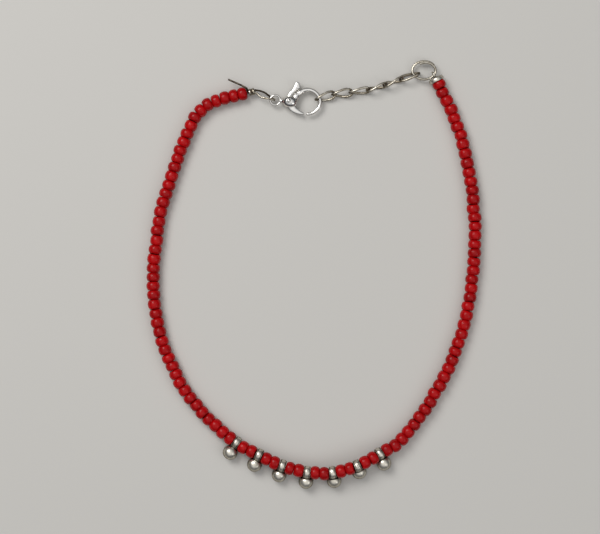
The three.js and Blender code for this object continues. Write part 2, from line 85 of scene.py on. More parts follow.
def add_node(
    owner: Material | bpy.types.World,
    kind: str,
    values: dict[str | int, Any] | None = None,
    links: dict[str | int, Socket] | None = None,
    stops: Sequence[tuple[float, str]] = (),
    out: str | int = 0,
    **settings: Any,
) -> Socket | None:
    """Add one shader node.

    Args:
        owner: what owns the node tree.
        kind: the node's type without its first word, such as "Bump".
        values: constants for its input sockets, by name or place.
        links: output sockets of other nodes for its inputs, by name or place.
        stops: a colour ramp's places from 0 to 1, each with a hex colour.
        out: the output that is wanted.
        settings: the node's own options.

    Returns:
        The node's output, or None for a last node.
    """
    tree = owner.node_tree
    node = tree.nodes.new("ShaderNode" + kind)
    for name, value in settings.items():
        setattr(node, name, value)
    for name, value in (values or {}).items():
        node.inputs[name].default_value = value
    for name, socket in (links or {}).items():
        tree.links.new(socket, node.inputs[name])
    if stops:
        elements = node.color_ramp.elements
        while len(elements) < len(stops):
            elements.new(0.5)
        for element, (place, colour) in zip(elements, stops):
            element.position, element.color = place, linear(colour)
    return node.outputs[out] if node.outputs else None


def blank_material(name: str) -> tuple[Material, Socket]:
    """Make a node material with nothing in it but the piece's own coordinates.

    Args:
        name: the material's name.

    Returns:
        The material, and its output socket for the coordinates.
    """
    made = bpy.data.materials.new(name)
    made.use_nodes = True
    made.node_tree.nodes.clear()
    return made, add_node(made, "TexCoord", out="Object")


def surfaced(made: Material, values: dict[str, Any], links: dict[str, Socket]) -> Material:
    """Give a material its surface, from constants and from other nodes.

    Args:
        made: the material.
        values: constants of the surface, by name.
        links: output sockets of the nodes that drive the rest of it, by name.

    Returns:
        The same material.
    """
    surface = add_node(made, "BsdfPrincipled", values, links)
    add_node(made, "OutputMaterial", links={"Surface": surface})
    return made


class Slot(Enum):
    """The record's finishes that a piece can take."""

    GLASS = "red_glass"
    SILVER = "antique_silver"
    PLATING = "bright_plating"
    STEEL = "tarnished_steel"


class Body(Enum):
    """The bodies that a piece can ride on."""

    ANKLET = "anklet"
    LEVER = "lever"


@dataclass
class Frame:
    """A point of a path with its own axes."""

    point: Vector
    along: Vector
    side: Vector
    top: Vector

    @classmethod
    def level(cls, point: Vector, along: Vector) -> "Frame":
        """Make a frame whose side lies flat."""
        side = along.cross(UP).normalized()
        return cls(point, along, side, side.cross(along))

    def matrix(self, scale: float = 1.0) -> Matrix:
        """Give the matrix that puts X on side, Y on top and Z along the path."""
        turn = Matrix((self.side, self.top, self.along)).transposed().to_4x4()
        return Matrix.Translation(self.point) @ turn @ Matrix.Diagonal((scale, scale, scale, 1.0))


class Path:
    """A smooth line through points, measured by length, as the model's own lines are."""

    def __init__(self, points: Sequence[Vector], closed: bool = False, fineness: int = 40) -> None:
        """Measure the line.

        Args:
            points: the points that it passes through.
            closed: whether the last point joins the first.
            fineness: steps that it is measured in, for each point.
        """
        self.points = [Vector(p) for p in points]
        self.closed = closed
        self.spans = len(self.points) if closed else len(self.points) - 1
        self.steps = fineness * self.spans
        self.lengths = [0.0]
        last = self._place(0.0)
        for k in range(1, self.steps + 1):
            here = self._place(k / self.steps)
            self.lengths.append(self.lengths[-1] + (here - last).length)
            last = here
        self.length = self.lengths[-1]

    def _knot(self, i: int) -> Vector:
        """Give a point of the line, or the one that carries it on past its end.

        Args:
            i: the point's place in the list, which may lie past either end.

        Returns:
            The point.
        """
        if self.closed:
            return self.points[i % len(self.points)]
        if i < 0:
            return self.points[0] * 2 - self.points[1]
        if i >= len(self.points):
            return self.points[-1] * 2 - self.points[-2]
        return self.points[i]

    def _place(self, share: float) -> Vector:
        """Give the place at a share of the points, which isn't yet a share of the length.

        Args:
            share: from 0 at the first point to 1 at the last, or at the first again.

        Returns:
            The place.
        """
        at = share * self.spans
        span = min(int(at), self.spans - 1)
        t = at - span
        p0, p1, p2, p3 = (self._knot(span + i) for i in (-1, 0, 1, 2))
        d0, d1, d2 = (max((b - a).length, 1e-9) ** 0.5 for a, b in ((p0, p1), (p1, p2), (p2, p3)))
        t1 = ((p1 - p0) / d0 - (p2 - p0) / (d0 + d1) + (p2 - p1) / d1) * d1
        t2 = ((p2 - p1) / d1 - (p3 - p1) / (d1 + d2) + (p3 - p2) / d2) * d1
        a = p1 * -3 + p2 * 3 - t1 * 2 - t2
        b = p1 * 2 - p2 * 2 + t1 + t2
        return p1 + t1 * t + a * t ** 2 + b * t ** 3

    def _share(self, distance: float) -> float:
        """Turn a distance into a share of the points.

        Args:
            distance: millimetres along the line.

        Returns:
            The share, from 0 to 1.
        """
        if self.closed:
            distance %= self.length
        k = min(max(bisect_right(self.lengths, distance) - 1, 0), self.steps - 1)
        span = self.lengths[k + 1] - self.lengths[k]
        part = (distance - self.lengths[k]) / max(span, 1e-12)
        return min(max((k + part) / self.steps, 0.0), 1.0)

    def at(self, distance: float) -> Vector:
        """Give the place at a distance along the line."""
        return self._place(self._share(distance))

    def way(self, distance: float) -> Vector:
        """Give the line's direction at a distance along it.

        Args:
            distance: millimetres along the line.

        Returns:
            The direction, one unit long.
        """
        share, step = self._share(distance), 1e-4
        ahead, behind = min(share + step, 1.0), max(share - step, 0.0)
        if self.closed:
            ahead, behind = (share + step) % 1.0, (share - step) % 1.0
        return (self._place(ahead) - self._place(behind)).normalized()

    def distance_to(self, index: int) -> float:
        """Give the distance to one of the points that the line was made through."""
        return self.lengths[round(index / self.spans * self.steps)]

    def level_frame(self, distance: float) -> Frame:
        """Give the frame at a distance, with its side lying flat."""
        return Frame.level(self.at(distance), self.way(distance))

    def carried_frames(self, distances: Iterable[float]) -> list[Frame]:
        """Give frames that turn as little as they can from one to the next.

        Args:
            distances: places along the line, in order.

        Returns:
            One frame for each.
        """
        frames: list[Frame] = []
        for distance in distances:
            point, along = self.at(distance), self.way(distance)
            if not frames:
                frames.append(Frame.level(point, along))
                continue
            last = frames[-1]
            side = last.along.rotation_difference(along) @ last.side
            side = (side - along * side.dot(along)).normalized()
            frames.append(Frame(point, along, side, along.cross(side)))
        return frames


def even(length: float, steps: int) -> list[float]:
    """Split a length into even steps, both ends among them."""
    return [length * k / steps for k in range(steps + 1)]


def sweep(
    bm: Bmesh,
    frames: Sequence[Frame],
    radii: Sequence[float],
    sides: int,
    closed: bool = False,
) -> None:
    """Draw a round section along frames.

    Args:
        bm: the mesh that it is added to.
        frames: the section's places, in order.
        radii: its radius at each.
        sides: corners of the section.
        closed: whether the last frame's ring is the first's.
    """
    place = frames[0].matrix(radii[0])
    ring = bmesh.ops.create_circle(bm, segments=sides, radius=1.0, matrix=place)["verts"]
    made = list(ring)
    first = edges = list({e for v in ring for e in v.link_edges})
    for spot, radius in zip(frames[1:], radii[1:]):
        grown = bmesh.ops.extrude_edge_only(bm, edges=edges)["geom"]
        ring = [g for g in grown if isinstance(g, bmesh.types.BMVert)]
        edges = [g for g in grown if isinstance(g, bmesh.types.BMEdge) and g.is_boundary]
        following = spot.matrix(radius)
        bmesh.ops.transform(bm, matrix=following @ place.inverted(), verts=ring)
        place = following
        made += ring
    if closed:
        bmesh.ops.remove_doubles(bm, verts=made, dist=1e-3)
        return
    for loop in (first, edges):
        bmesh.ops.edgeloop_fill(bm, edges=loop)


def rod(bm: Bmesh, path: Path, radius: float, steps: int, sides: int) -> None:
    """Draw a wire along an open path, its cut ends slightly rounded.

    Args:
        bm: the mesh that it is added to.
        path: the middle of the wire.
        radius: the wire's radius.
        steps: steps along it.
        sides: corners of its section.
    """
    soft = radius * CUT_ROUNDING
    places = [0.0, soft * 0.3, soft, *even(path.length, steps)[1:-1]]
    places += [path.length - soft, path.length - soft * 0.3, path.length]
    radii = [radius - soft, radius - soft * 0.3] + [radius] * (len(places) - 4)
    radii += [radius - soft * 0.3, radius - soft]
    sweep(bm, path.carried_frames(places), radii, sides)


def turned(
    bm: Bmesh, outline: Sequence[Pair], sides: int, place: Matrix
) -> list[bmesh.types.BMVert]:
    """Turn an outline round Z.

    Args:
        bm: the mesh that it is added to.
        outline: radius and height of its points; the last may be the first again.
        sides: steps round.
        place: where it goes.

    Returns:
        The new vertices.
    """
    joined = outline[0] == outline[-1]
    points = outline[:-1] if joined else outline
    verts = [bm.verts.new((max(r, 0.0), 0.0, z)) for r, z in points]
    edges = [bm.edges.new(pair) for pair in zip(verts, verts[1:])]
    if joined:
        edges.append(bm.edges.new((verts[-1], verts[0])))
    before = set(bm.verts) - set(verts)
    bmesh.ops.spin(
        bm, geom=verts + edges, cent=(0, 0, 0), axis=(0, 0, 1), angle=2 * math.pi, steps=sides,
        use_merge=True, use_duplicate=False,
    )
    made = [v for v in bm.verts if v not in before]
    bmesh.ops.remove_doubles(bm, verts=made, dist=1e-4)
    made = [v for v in made if v.is_valid]
    bmesh.ops.transform(bm, matrix=place, verts=made)
    return made


def smoothed(values: Sequence[Pair], at: float) -> float:
    """Read a table of places and values between its rows, easing from one to the next.

    Args:
        values: rows of a place and its value, by rising place.
        at: the place that is looked up.

    Returns:
        The value there, or that of the nearest row beyond the table's ends.
    """
    for (a, low), (b, high) in zip(values, values[1:]):
        if at <= b:
            t = min(max((at - a) / (b - a), 0.0), 1.0)
            return low + (high - low) * t * t * (3 - 2 * t)
    return values[-1][1]


def circle(radius: float, sides: int, squash: float = 1.0) -> list[Pair]:
    """Give the points of a circle about the origin, or of one squashed in its second axis."""
    turns = (2 * math.pi * k / sides for k in range(sides))
    return [(radius * math.cos(turn), radius * math.sin(turn) * squash) for turn in turns]


def torus(bm: Bmesh, radius: float, wire: Sequence[Pair], sides: int, place: Matrix) -> None:
    """Turn a wire's section round at a radius."""
    outline = [(radius + x, z) for x, z in wire]
    turned(bm, outline + outline[:1], sides, place)


def paint(bm: Bmesh, layer: str, rule: Callable[[Vector], float]) -> None:
    """Set an attribute of each vertex by a rule that reads its place.

    Args:
        bm: the mesh.
        layer: the attribute's name.
        rule: what gives the value at a place.
    """
    mark = bm.verts.layers.float.new(layer)
    for vert in bm.verts:
        vert[mark] = rule(vert.co)


def linked(bm: Bmesh, name: str) -> bpy.types.Object:
    """Turn a mesh, which is freed, into an object of the scene.

    Args:
        bm: the mesh.
        name: the object's name.

    Returns:
        The object.
    """
    mesh = bpy.data.meshes.new(name)
    bm.to_mesh(mesh)
    bm.free()
    made = bpy.data.objects.new(name, mesh)
    bpy.context.scene.collection.objects.link(made)
    return made


def finish_piece(
    bm: Bmesh,
    name: str,
    material: Material,
    slot: Slot,
    body: Body = Body.ANKLET,
    replaces: bool = True,
) -> None:
    """Turn a mesh in millimetres into a piece of the anklet.

    Args:
        bm: the mesh, which is freed.
        name: the piece's name, which is also that of the solid it stands for.
        material: its material.
        slot: the record's finish that it takes; not used.
        body: the body that it rides on.
        replaces: whether it stands for a solid of the model.
    """
    bmesh.ops.recalc_face_normals(bm, faces=bm.faces)
    bmesh.ops.scale(bm, vec=(METRE, METRE, METRE), verts=bm.verts)
    for face in bm.faces:
        face.smooth = True
    piece = linked(bm, name)
    piece.data.materials.append(material)
    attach(piece, body.value)
    if replaces:
        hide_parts(name)
    log.info("%s: %d faces", name, len(piece.data.polygons))


def apply_modifiers(shape: bpy.types.Object) -> Bmesh:
    """Give the result of an object's modifiers, and remove the object.

    Args:
        shape: the object.

    Returns:
        The mesh that its modifiers make.
    """
    graph = bpy.context.evaluated_depsgraph_get()
    graph.update()
    result = bmesh.new()
    result.from_mesh(bpy.data.meshes.new_from_object(shape.evaluated_get(graph)))
    bpy.data.objects.remove(shape)
    return result


def fuse(bm: Bmesh, voxel: float, rounds: int) -> Bmesh:
    """Join overlapping shapes into one skin with soft corners, as a casting has.

    Args:
        bm: the shapes in millimetres, which are freed.
        voxel: the size of the new faces in millimetres.
        rounds: how often the skin is smoothed.

    Returns:
        The new mesh.
    """
    bmesh.ops.recalc_face_normals(bm, faces=bm.faces)
    shape = linked(bm, "casting")
    skin = shape.modifiers.new("skin", "REMESH")
    skin.mode, skin.voxel_size, skin.adaptivity = "VOXEL", voxel, 0.0
    soften = shape.modifiers.new("soften", "SMOOTH")
    soften.factor, soften.iterations = 0.5, rounds
    return apply_modifiers(shape)


def cut_away(body: Bmesh, tool: Bmesh) -> Bmesh:
    """Cut one closed shape out of another; both are freed.

    Args:
        body: the shape that is cut.
        tool: the shape of what is taken away.

    Returns:
        What is left of the body.
    """
    for bm in (body, tool):
        bmesh.ops.recalc_face_normals(bm, faces=bm.faces)
    shape, cutter = linked(body, "cut"), linked(tool, "cutter")
    cut = shape.modifiers.new("cut", "BOOLEAN")
    cut.operation, cut.solver, cut.object = "DIFFERENCE", "EXACT", cutter
    cut.use_self = True
    left = apply_modifiers(shape)
    bpy.data.objects.remove(cutter)
    return left


@dataclass(frozen=True)
class RedGlass:
    """Opaque pressed seed-bead glass, tumbled: a deep red body under a soft waxy gloss."""

    deep: str = "#8C0306"
    bright: str = "#B8060B"
    ior: float = 1.52
    gloss: float = 0.17  # tumbling leaves less mirror than the index alone gives
    smooth: float = 0.19
    coarse: float = 0.3
    tone_share: float = 0.25  # how much a bead's own tone counts beside its clouds
    cloud: float = 1.6  # mm across the clouds in the glass
    speck: float = 0.25  # mm, the fine unevenness that blurs the highlight
    pits: float = 0.04  # mm deep

    def material(self) -> Material:
        """Make the material; each bead's own tone comes from its attribute.

        Returns:
            The material.
        """
        made, place = blank_material("opaque red glass")
        tone = add_node(made, "Attribute", out="Fac", attribute_name="bead_tone")
        cloud = add_node(
            made, "TexNoise", {"Scale": 1 / (self.cloud * METRE), "Detail": 3.0}, {"Vector": place}
        )
        mixed = add_node(
            made, "Math", {1: self.tone_share}, {0: tone, 2: cloud}, operation="MULTIPLY_ADD"
        )
        colour = add_node(
            made, "ValToRGB", links={"Fac": mixed}, stops=[(0.3, self.deep), (0.9, self.bright)]
        )
        grain = add_node(
            made, "TexNoise", {"Scale": 1 / (self.speck * METRE), "Detail": 2.0}, {"Vector": place}
        )
        rough = add_node(
            made, "MapRange", {"To Min": self.smooth, "To Max": self.coarse}, {"Value": cloud}
        )
        bump = add_node(
            made, "Bump", {"Strength": 0.18, "Distance": self.pits * METRE}, {"Height": grain}
        )
        return surfaced(
            made, {"IOR": self.ior, "Specular IOR Level": self.gloss},
            {"Base Color": colour, "Roughness": rough, "Normal": bump},
        )


@dataclass(frozen=True)
class Thread:
    """Waxed polyester thread, twisted: dark red, matt, seen only between beads."""

    colour: str = "#4A0A0C"
    # painted shade: the darker colour of the twist's grooves
    shade: str = "#2C0506"
    roughness: float = 0.7
    twist: float = 0.35  # mm from one strand to the next
    ply: float = 0.05  # mm that a strand stands up

    def material(self) -> Material:
        """Make the material.

        Returns:
            The material.
        """
        made, place = blank_material("waxed thread")
        wave = add_node(
            made, "TexWave", {"Scale": 0.3 / (self.twist * METRE), "Distortion": 1.0},
            {"Vector": place}, out="Fac", bands_direction="DIAGONAL",
        )
        bump = add_node(
            made, "Bump", {"Strength": 0.5, "Distance": self.ply * METRE}, {"Height": wave}
        )
        # Painted shade: where the bump is low, in the twist's grooves, the colour darkens
        colour = add_node(
            made, "ValToRGB", links={"Fac": wave}, stops=[(0.0, self.shade), (1.0, self.colour)]
        )
        return surfaced(
            made, {"Roughness": self.roughness}, {"Base Color": colour, "Normal": bump}
        )


@dataclass(frozen=True)
class AgedMetal:
    """A metal whose polish is worn on top, with patches of tarnish, and darker where each piece
    marks painted shade and the oxide in its recesses.
    """

    name: str
    clean: str
    dull: str
    dark: str
    cloud: float  # mm across the patches of tarnish
    smooth: float  # roughness where it is rubbed
    coarse: float  # roughness where it is dull
    pits: float  # mm deep
    reach: float  # how far the darkening spreads, tarnish and painted shade alike, from 0 to 1
    edge: str  # tint of the mirror at its edges: partly the film on it, partly a painted darkening of the rims
    depth: float = 0.9  # how much the painted shade and oxide that a piece marks count beside the patches
    grain: float = 0.22  # mm across the grit

    def material(self) -> Material:
        """Make the material; the painted shade, with oxide or tarnish, that a piece marks comes
        from its attribute, 0 where it has none.

        Returns:
            The material.
        """
        made, place = blank_material(self.name)
        patches = add_node(
            made, "TexNoise", {"Scale": 1 / (self.cloud * METRE), "Detail": 5.0, "Roughness": 0.62},
            {"Vector": place},
        )
        # Each piece's attribute of painted shade, with oxide or tarnish where it has them
        shade_and_tarnish = add_node(made, "Attribute", out="Fac", attribute_name="shade_and_tarnish")
        amount = add_node(
            made, "Math", {1: self.depth}, {0: shade_and_tarnish, 2: patches}, operation="MULTIPLY_ADD"
        )
        low = 0.75 - self.reach * 0.5
        colour = add_node(made, "ValToRGB", links={"Fac": amount}, stops=[
            (low - 0.12, self.clean), (low + 0.08, self.dull), (low + 0.5, self.dark),
        ])
        span = {"From Min": low - 0.15, "From Max": low + 0.4}
        ends = {"To Min": self.smooth, "To Max": self.coarse}
        rough = add_node(made, "MapRange", {**span, **ends}, {"Value": amount})
        grit = add_node(
            made, "TexNoise", {"Scale": 1 / (self.grain * METRE), "Detail": 4.0}, {"Vector": place}
        )
        bump = add_node(
            made, "Bump", {"Strength": 0.35, "Distance": self.pits * METRE}, {"Height": grit}
        )
        # Specular Tint darkens each metal's rims, partly for its film and partly as painted shade
        return surfaced(
            made, {"Metallic": 1.0, "Specular Tint": linear(self.edge)},
            {"Base Color": colour, "Roughness": rough, "Normal": bump},
        )


# Cast white metal, silvered, oxidised and rubbed: warm grey high spots, near-black corners of oxide
# and painted shade
ANTIQUE_SILVER = AgedMetal(
    "antique silver casting", "#D8D2C5", "#A39C8D", "#2E2922", 1.4, 0.34, 0.52, 0.04, 0.2, "#9A948A"
)
# Die-cast zinc under bright nickel: almost white, with a faint haze of handling; darker where
# painted shade is marked
BRIGHT_PLATING = AgedMetal(
    "bright nickel plating", "#E4E1DC", "#D2CEC8", "#6D675F", 2.2, 0.15, 0.28, 0.012, 0.1, "#8F8B86"
)
# Drawn steel wire with a worn nickel flash: brown-grey film, bright where the links rub, darker
# where painted shade is marked
TARNISHED_STEEL = AgedMetal(
    "tarnished steel wire", "#C4BDAF", "#948A79", "#3A3127", 1.1, 0.2, 0.42, 0.03, 0.36, "#9A948A"
)


@dataclass
class Loop:
    """The whole anklet's size, and where the model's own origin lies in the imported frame."""

    width: float = 71.96
    length: float = 88.2
    bead_radius: float = 1.5
    ball_diameter: float = 3.28
    bulb_diameter: float = 2.9
    clasp_pivot: Pair = (-0.1554, 0.8762)  # shares of half the width and length
    shift: Vector = field(init=False)

    def __post_init__(self) -> None:
        """Find the shift from the rivet, which stands on the lever's pivot."""
        low, high = (Vector(corner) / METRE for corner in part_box("clasp_rivet"))
        self.shift = Vector((0.0, 0.0, 0.0))
        self.shift = (low + high) / 2 - self.place(*self.clasp_pivot, self.bulb_diameter / 2)

    def place(self, across: float, along: float, height: float) -> Vector:
        """Give a place from its shares of half the loop's width and length."""
        return Vector((across * self.width / 2, along * self.length / 2, height)) + self.shift


@dataclass
class BeadString:
    """Red glass beads on a thread, from the crimp to the end cup."""

    loop: Loop
    bead_length: float = 2.05
    hole_radius: float = 0.42
    thread_radius: float = 0.26
    charm_count: int = 7
    beads_between: int = 2
    bail_space: float = 1.62  # of the thread, for each drop
    sides: int = 26
    squareness: float = 1.9  # 2 is an ellipse, more is boxier
    radius_range: Pair = (0.98, 1.035)
    length_range: Pair = (0.92, 1.08)
    tilt: float = 3.2  # degrees, one standard deviation
    wander: float = 0.13  # mm to each side of the thread
    bead_gap: float = 0.03
    # Shares of half the loop's width and length, and its lift in balls' diameters
    route: tuple[Triple, ...] = (
        (-0.4166, 0.9177, 0), (-0.525, 0.8966, 0), (-0.6212, 0.8737, 0), (-0.7187, 0.8179, 0),
        (-0.7721, 0.7435, 0), (-0.8399, 0.6086, 0), (-0.8944, 0.4744, 0), (-0.9505, 0.3238, 0),
        (-0.9783, 0.1567, 0), (-1, 0.0045, 0), (-0.9908, -0.1474, 0), (-0.9536, -0.3045, 0),
        (-0.8944, -0.4415, 0), (-0.8168, -0.5707, 0), (-0.7143, -0.6796, 0.015),
        (-0.6181, -0.7608, 0.046), (-0.4794, -0.854, 0.122), (-0.343, -0.9127, 0.305),
        (-0.2037, -0.9655, 0.427), (-0.0434, -1, 0.457), (0.1192, -1, 0.549),
        (0.2685, -0.9655, 0.67), (0.4125, -0.9045, 0.32), (0.5131, -0.8596, 0.137),
        (0.6212, -0.7658, 0.03), (0.764, -0.5832, 0), (0.8696, -0.4111, 0), (0.9441, -0.2236, 0),
        (0.9814, -0.0361, 0), (1, 0.1211, 0), (0.9939, 0.3036, 0), (0.9717, 0.4912, 0),
        (0.9194, 0.676, 0), (0.848, 0.8408, 0), (0.7621, 0.9796, 0.061),
    )
    front: int = 19  # the row where the middle drop hangs
    path: Path = field(init=False)
    bails: list[float] = field(init=False)
    beads: list[Pair] = field(init=False)

    def __post_init__(self) -> None:
        """Lay out the beads and the places of the bails."""
        self.path = Path([
            self.loop.place(across, along, self.loop.bead_radius + lift * self.loop.ball_diameter)
            for across, along, lift in self.route
        ], fineness=100)
        pitch = self.beads_between * self.bead_length + self.bail_space
        first = self.path.distance_to(self.front) - (self.charm_count - 1) / 2 * pitch
        self.bails = [first + i * pitch for i in range(self.charm_count)]
        self.beads = []
        dice = random.Random(SEED)
        starts = [0.0] + [b + self.bail_space / 2 for b in self.bails]
        stops = [b - self.bail_space / 2 for b in self.bails] + [self.path.length]
        for start, stop in zip(starts, stops):
            count = round((stop - start) / self.bead_length)
            shares = [dice.uniform(*self.length_range) for _ in range(count)]
            at = start
            for share in shares:
                length = share / sum(shares) * (stop - start)
                self.beads.append((at, at + length))
                at += length

    def outline(self, half: float, radius: float) -> list[Pair]:
        """Give a bead's closed outline: a rounded barrel round its hole.

        Args:
            half: half the bead's length.
            radius: the bead's radius.

        Returns:
            Radius and height of its points, the last being the first again.
        """
        middle, reach = (radius + self.hole_radius) / 2, (radius - self.hole_radius) / 2
        points = []
        for k in range(16):
            angle = 2 * math.pi * k / 16
            c, s = math.cos(angle), math.sin(angle)
            power = 2 / self.squareness
            out = math.copysign(abs(c) ** power, c) * reach
            points.append((middle + out, math.copysign(abs(s) ** power, s) * half))
        return points + points[:1]

    def build_beads(
        self, name: str, rows: Sequence[Pair], material: Material, seed: int
    ) -> None:
        """Build one stretch of beads, each a little unlike the next.

        Args:
            name: the piece's name, which is its solid's too.
            rows: where each bead starts and ends along the string.
            material: the glass.
            seed: start of the stretch's own variation.
        """
        dice = random.Random(seed)
        bm = bmesh.new()
        tone = bm.verts.layers.float.new("bead_tone")
        for start, stop in rows:
            spot = self.path.level_frame((start + stop) / 2)
            radius = self.loop.bead_radius * dice.uniform(*self.radius_range)
            tilt = Matrix.Rotation(math.radians(dice.gauss(0, self.tilt)), 4, "X")
            tilt @= Matrix.Rotation(math.radians(dice.gauss(0, self.tilt)), 4, "Y")
            aside = spot.side * dice.uniform(-self.wander, self.wander)
            rise = spot.top * (radius - self.loop.bead_radius)
            place = Matrix.Translation(rise + aside) @ spot.matrix() @ tilt
            half = (stop - start - self.bead_gap) / 2
            verts = turned(bm, self.outline(half, radius), self.sides, place)
            shade = dice.random()
            for vert in verts:
                vert[tone] = shade
        finish_piece(bm, name, material, Slot.GLASS)

    def build(self, glass: Material, thread: Material) -> None:
        """Build both stretches and the thread inside them.

        Args:
            glass: the beads' material.
            thread: the thread's material.
        """
        middle = self.bails[self.charm_count // 2]
        split = next(i for i, (start, _) in enumerate(self.beads) if start > middle) + 1
        self.build_beads("beads_left", self.beads[:split], glass, SEED + 1)
        self.build_beads("beads_right", self.beads[split:], glass, SEED + 2)
        bm = bmesh.new()
        places = [0.2, *even(self.path.length, 320)[2:-2], self.path.length - 0.2]
        frames = self.path.carried_frames(places)
        first = frames[0]
        lead = Frame(first.point - first.along * 0.62, first.along, first.side, first.top)
        sweep(bm, [lead, *frames], [self.thread_radius] * (len(frames) + 1), 10)
        finish_piece(bm, "thread", thread, Slot.GLASS, replaces=False)


@dataclass
class Drops:
    """Seven cast drops: a bail ring on the thread and a ball that lies on the surface."""

    string: BeadString
    bail_radius: float = 1.425
    bail_bore: float = 0.6
    bail_half: float = 0.71  # half its length along the thread
    ball_radius: float = 1.64
    ball_drop: float = 2.6  # from the thread to the ball's middle
    worn_bail: int = 5  # the drop whose bail shows its punched dots most
    voxel: float = 0.075
    # Radius and height of its outline, from where it sits in the ball
    collar: tuple[Pair, ...] = (
        (0.0, -0.2), (0.84, -0.2), (1.0, -0.06), (0.98, 0.12), (0.9, 0.3), (0.0, 0.4),
    )
    low_side_shade: tuple[Pair, ...] = ((1.5, 0.42), (2.95, 0.0))  # painted shade: darker lower down, by height over the floor
    dot_count: int = 18
    dot_pitch: float = 0.27  # from one row of dots to the next
    dot_radius: float = 0.085
    band: float = 1.2  # dots lie further out than this, but are punched no nearer to the ball
    punch: Pair = (0.015, 0.05)  # depth of the dots, and on the worn bail
    shadow: Pair = (0.12, 0.8)  # their oxide, and on the worn bail
    unevenness: float = 0.03

    def place(self, distance: float) -> Matrix:
        """Give a drop's frame: X towards the ball, Z along the string.

        Args:
            distance: where the drop hangs, in millimetres along the string.

        Returns:
            The matrix that puts the drop there, its ball on the surface.
        """
        spot = self.string.path.level_frame(distance)
        fall = spot.point.z - self.ball_radius - self.string.loop.shift.z
        lean = math.asin(min(max(fall / (self.ball_drop * spot.top.z), -1.0), 1.0))
        down = spot.side * math.cos(lean) - spot.top * math.sin(lean)
        turn = Matrix((down, spot.along.cross(down), spot.along)).transposed().to_4x4()
        return Matrix.Translation(spot.point) @ turn

    def bail_outline(self) -> list[Pair]:
        """Give the bail's closed outline: a crowned band between two thin rims.

        Returns:
            Radius and height of its points, the last being the first again.
        """
        r, h = self.bail_radius, self.bail_half
        b = self.bail_bore
        upper = [
            (b, 0.0), (b + 0.03, h * 0.6), (b + 0.14, h * 0.92), (r - 0.32, h),
            (r - 0.14, h * 0.96), (r - 0.1, h * 0.86), (r - 0.15, h * 0.74),
            (r - 0.07, h * 0.58), (r - 0.02, h * 0.3),
        ]
        lower = [(a, -b) for a, b in reversed(upper[1:])]
        return upper + [(r, 0.0)] + lower + upper[:1]

    def shade_and_tarnish(self, point: Vector, worn: bool) -> float:
        """Say how deep a place of the drop lies in its own shape, which sets its oxide and painted
        shade.

        Args:
            point: the place in the drop's frame.
            worn: whether this is the drop whose dots show most.

        Returns:
            From 0, rubbed bright, to 1, full of oxide and painted shade.
        """
        ring = math.hypot(point.x, point.y)
        ball = (point - Vector((self.ball_drop, 0, 0))).length
        off_bail, off_ball = ring - self.bail_radius, ball - self.ball_radius
        # Painted shade, with oxide, in the crease where bail meets ball, in the bore and in the
        # rim's groove
        crease = math.exp(-(off_bail ** 2 + off_ball ** 2) / 0.2 ** 2)
        if ring > self.bail_radius + 0.12 or point.x > 1.3:
            return 0.75 * crease
        bore = smoothed([(0, 1), (0.7, 1), (0.95, 0)], ring)
        rim = 0.6 * math.exp(-((abs(point.z) - self.bail_half * 0.74) / 0.09) ** 2)
        return max(crease, bore, rim, self.dot(point) * self.shadow[worn])

    def dot(self, point: Vector) -> float:
        """Give the punched dots on the bail's band, from 0 to 1.

        Args:
            point: the place in the drop's frame.

        Returns:
            1 in the middle of a dot, falling to 0 between the dots.
        """
        ring, row = math.hypot(point.x, point.y), round(point.z / self.dot_pitch)
        if abs(row) > 1 or ring <= self.band:
            return 0.0
        turn = math.atan2(point.y, point.x) / (2 * math.pi) * self.dot_count
        around = (turn + 0.5 * (row % 2)) % 1.0 - 0.5
        aside = around * 2 * math.pi * ring / self.dot_count
        off = math.hypot(aside, point.z - row * self.dot_pitch)
        return math.exp(-(off / self.dot_radius) ** 2)

    def build(self, silver: Material) -> None:
        """Build the drops.

        Args:
            silver: their material.
        """
        for i, distance in enumerate(self.string.bails):
            bm = bmesh.new()
            turned(bm, self.bail_outline(), 72, Matrix.Identity(4))
            ball = Matrix.Translation((self.ball_drop, 0, 0))
            bmesh.ops.create_uvsphere(
                bm, u_segments=64, v_segments=40, radius=self.ball_radius, matrix=ball
            )
            seat = Matrix.Translation((self.ball_drop - self.ball_radius * 0.86, 0, 0))
            turned(bm, self.collar, 48, seat @ Matrix.Rotation(math.pi / 2, 4, "Y"))
            bm = fuse(bm, self.voxel, 3)
            mark = bm.verts.layers.float.new("shade_and_tarnish")
            worn = i == self.worn_bail
            patch = Vector((3.1 * i, 7.7 * i, 1.3))
            bm.normal_update()
            place = self.place(distance)
            # Painted shade lower down on each drop, beside the oxide and painted shade in its
            # hollows
            for vert in bm.verts:
                rise = (place @ vert.co).z - self.string.loop.shift.z
                vert[mark] = max(self.shade_and_tarnish(vert.co, worn), smoothed(self.low_side_shade, rise))
            for vert in bm.verts:
                swell = self.unevenness * noise.noise(vert.co * 0.9 + patch)
                dent = self.punch[worn] * self.dot(vert.co) if vert.co.x < self.band else 0.0
                vert.co += vert.normal * (swell - dent)
            bmesh.ops.transform(bm, matrix=place, verts=bm.verts)
            finish_piece(bm, f"charm_{i + 1}", silver, Slot.SILVER)


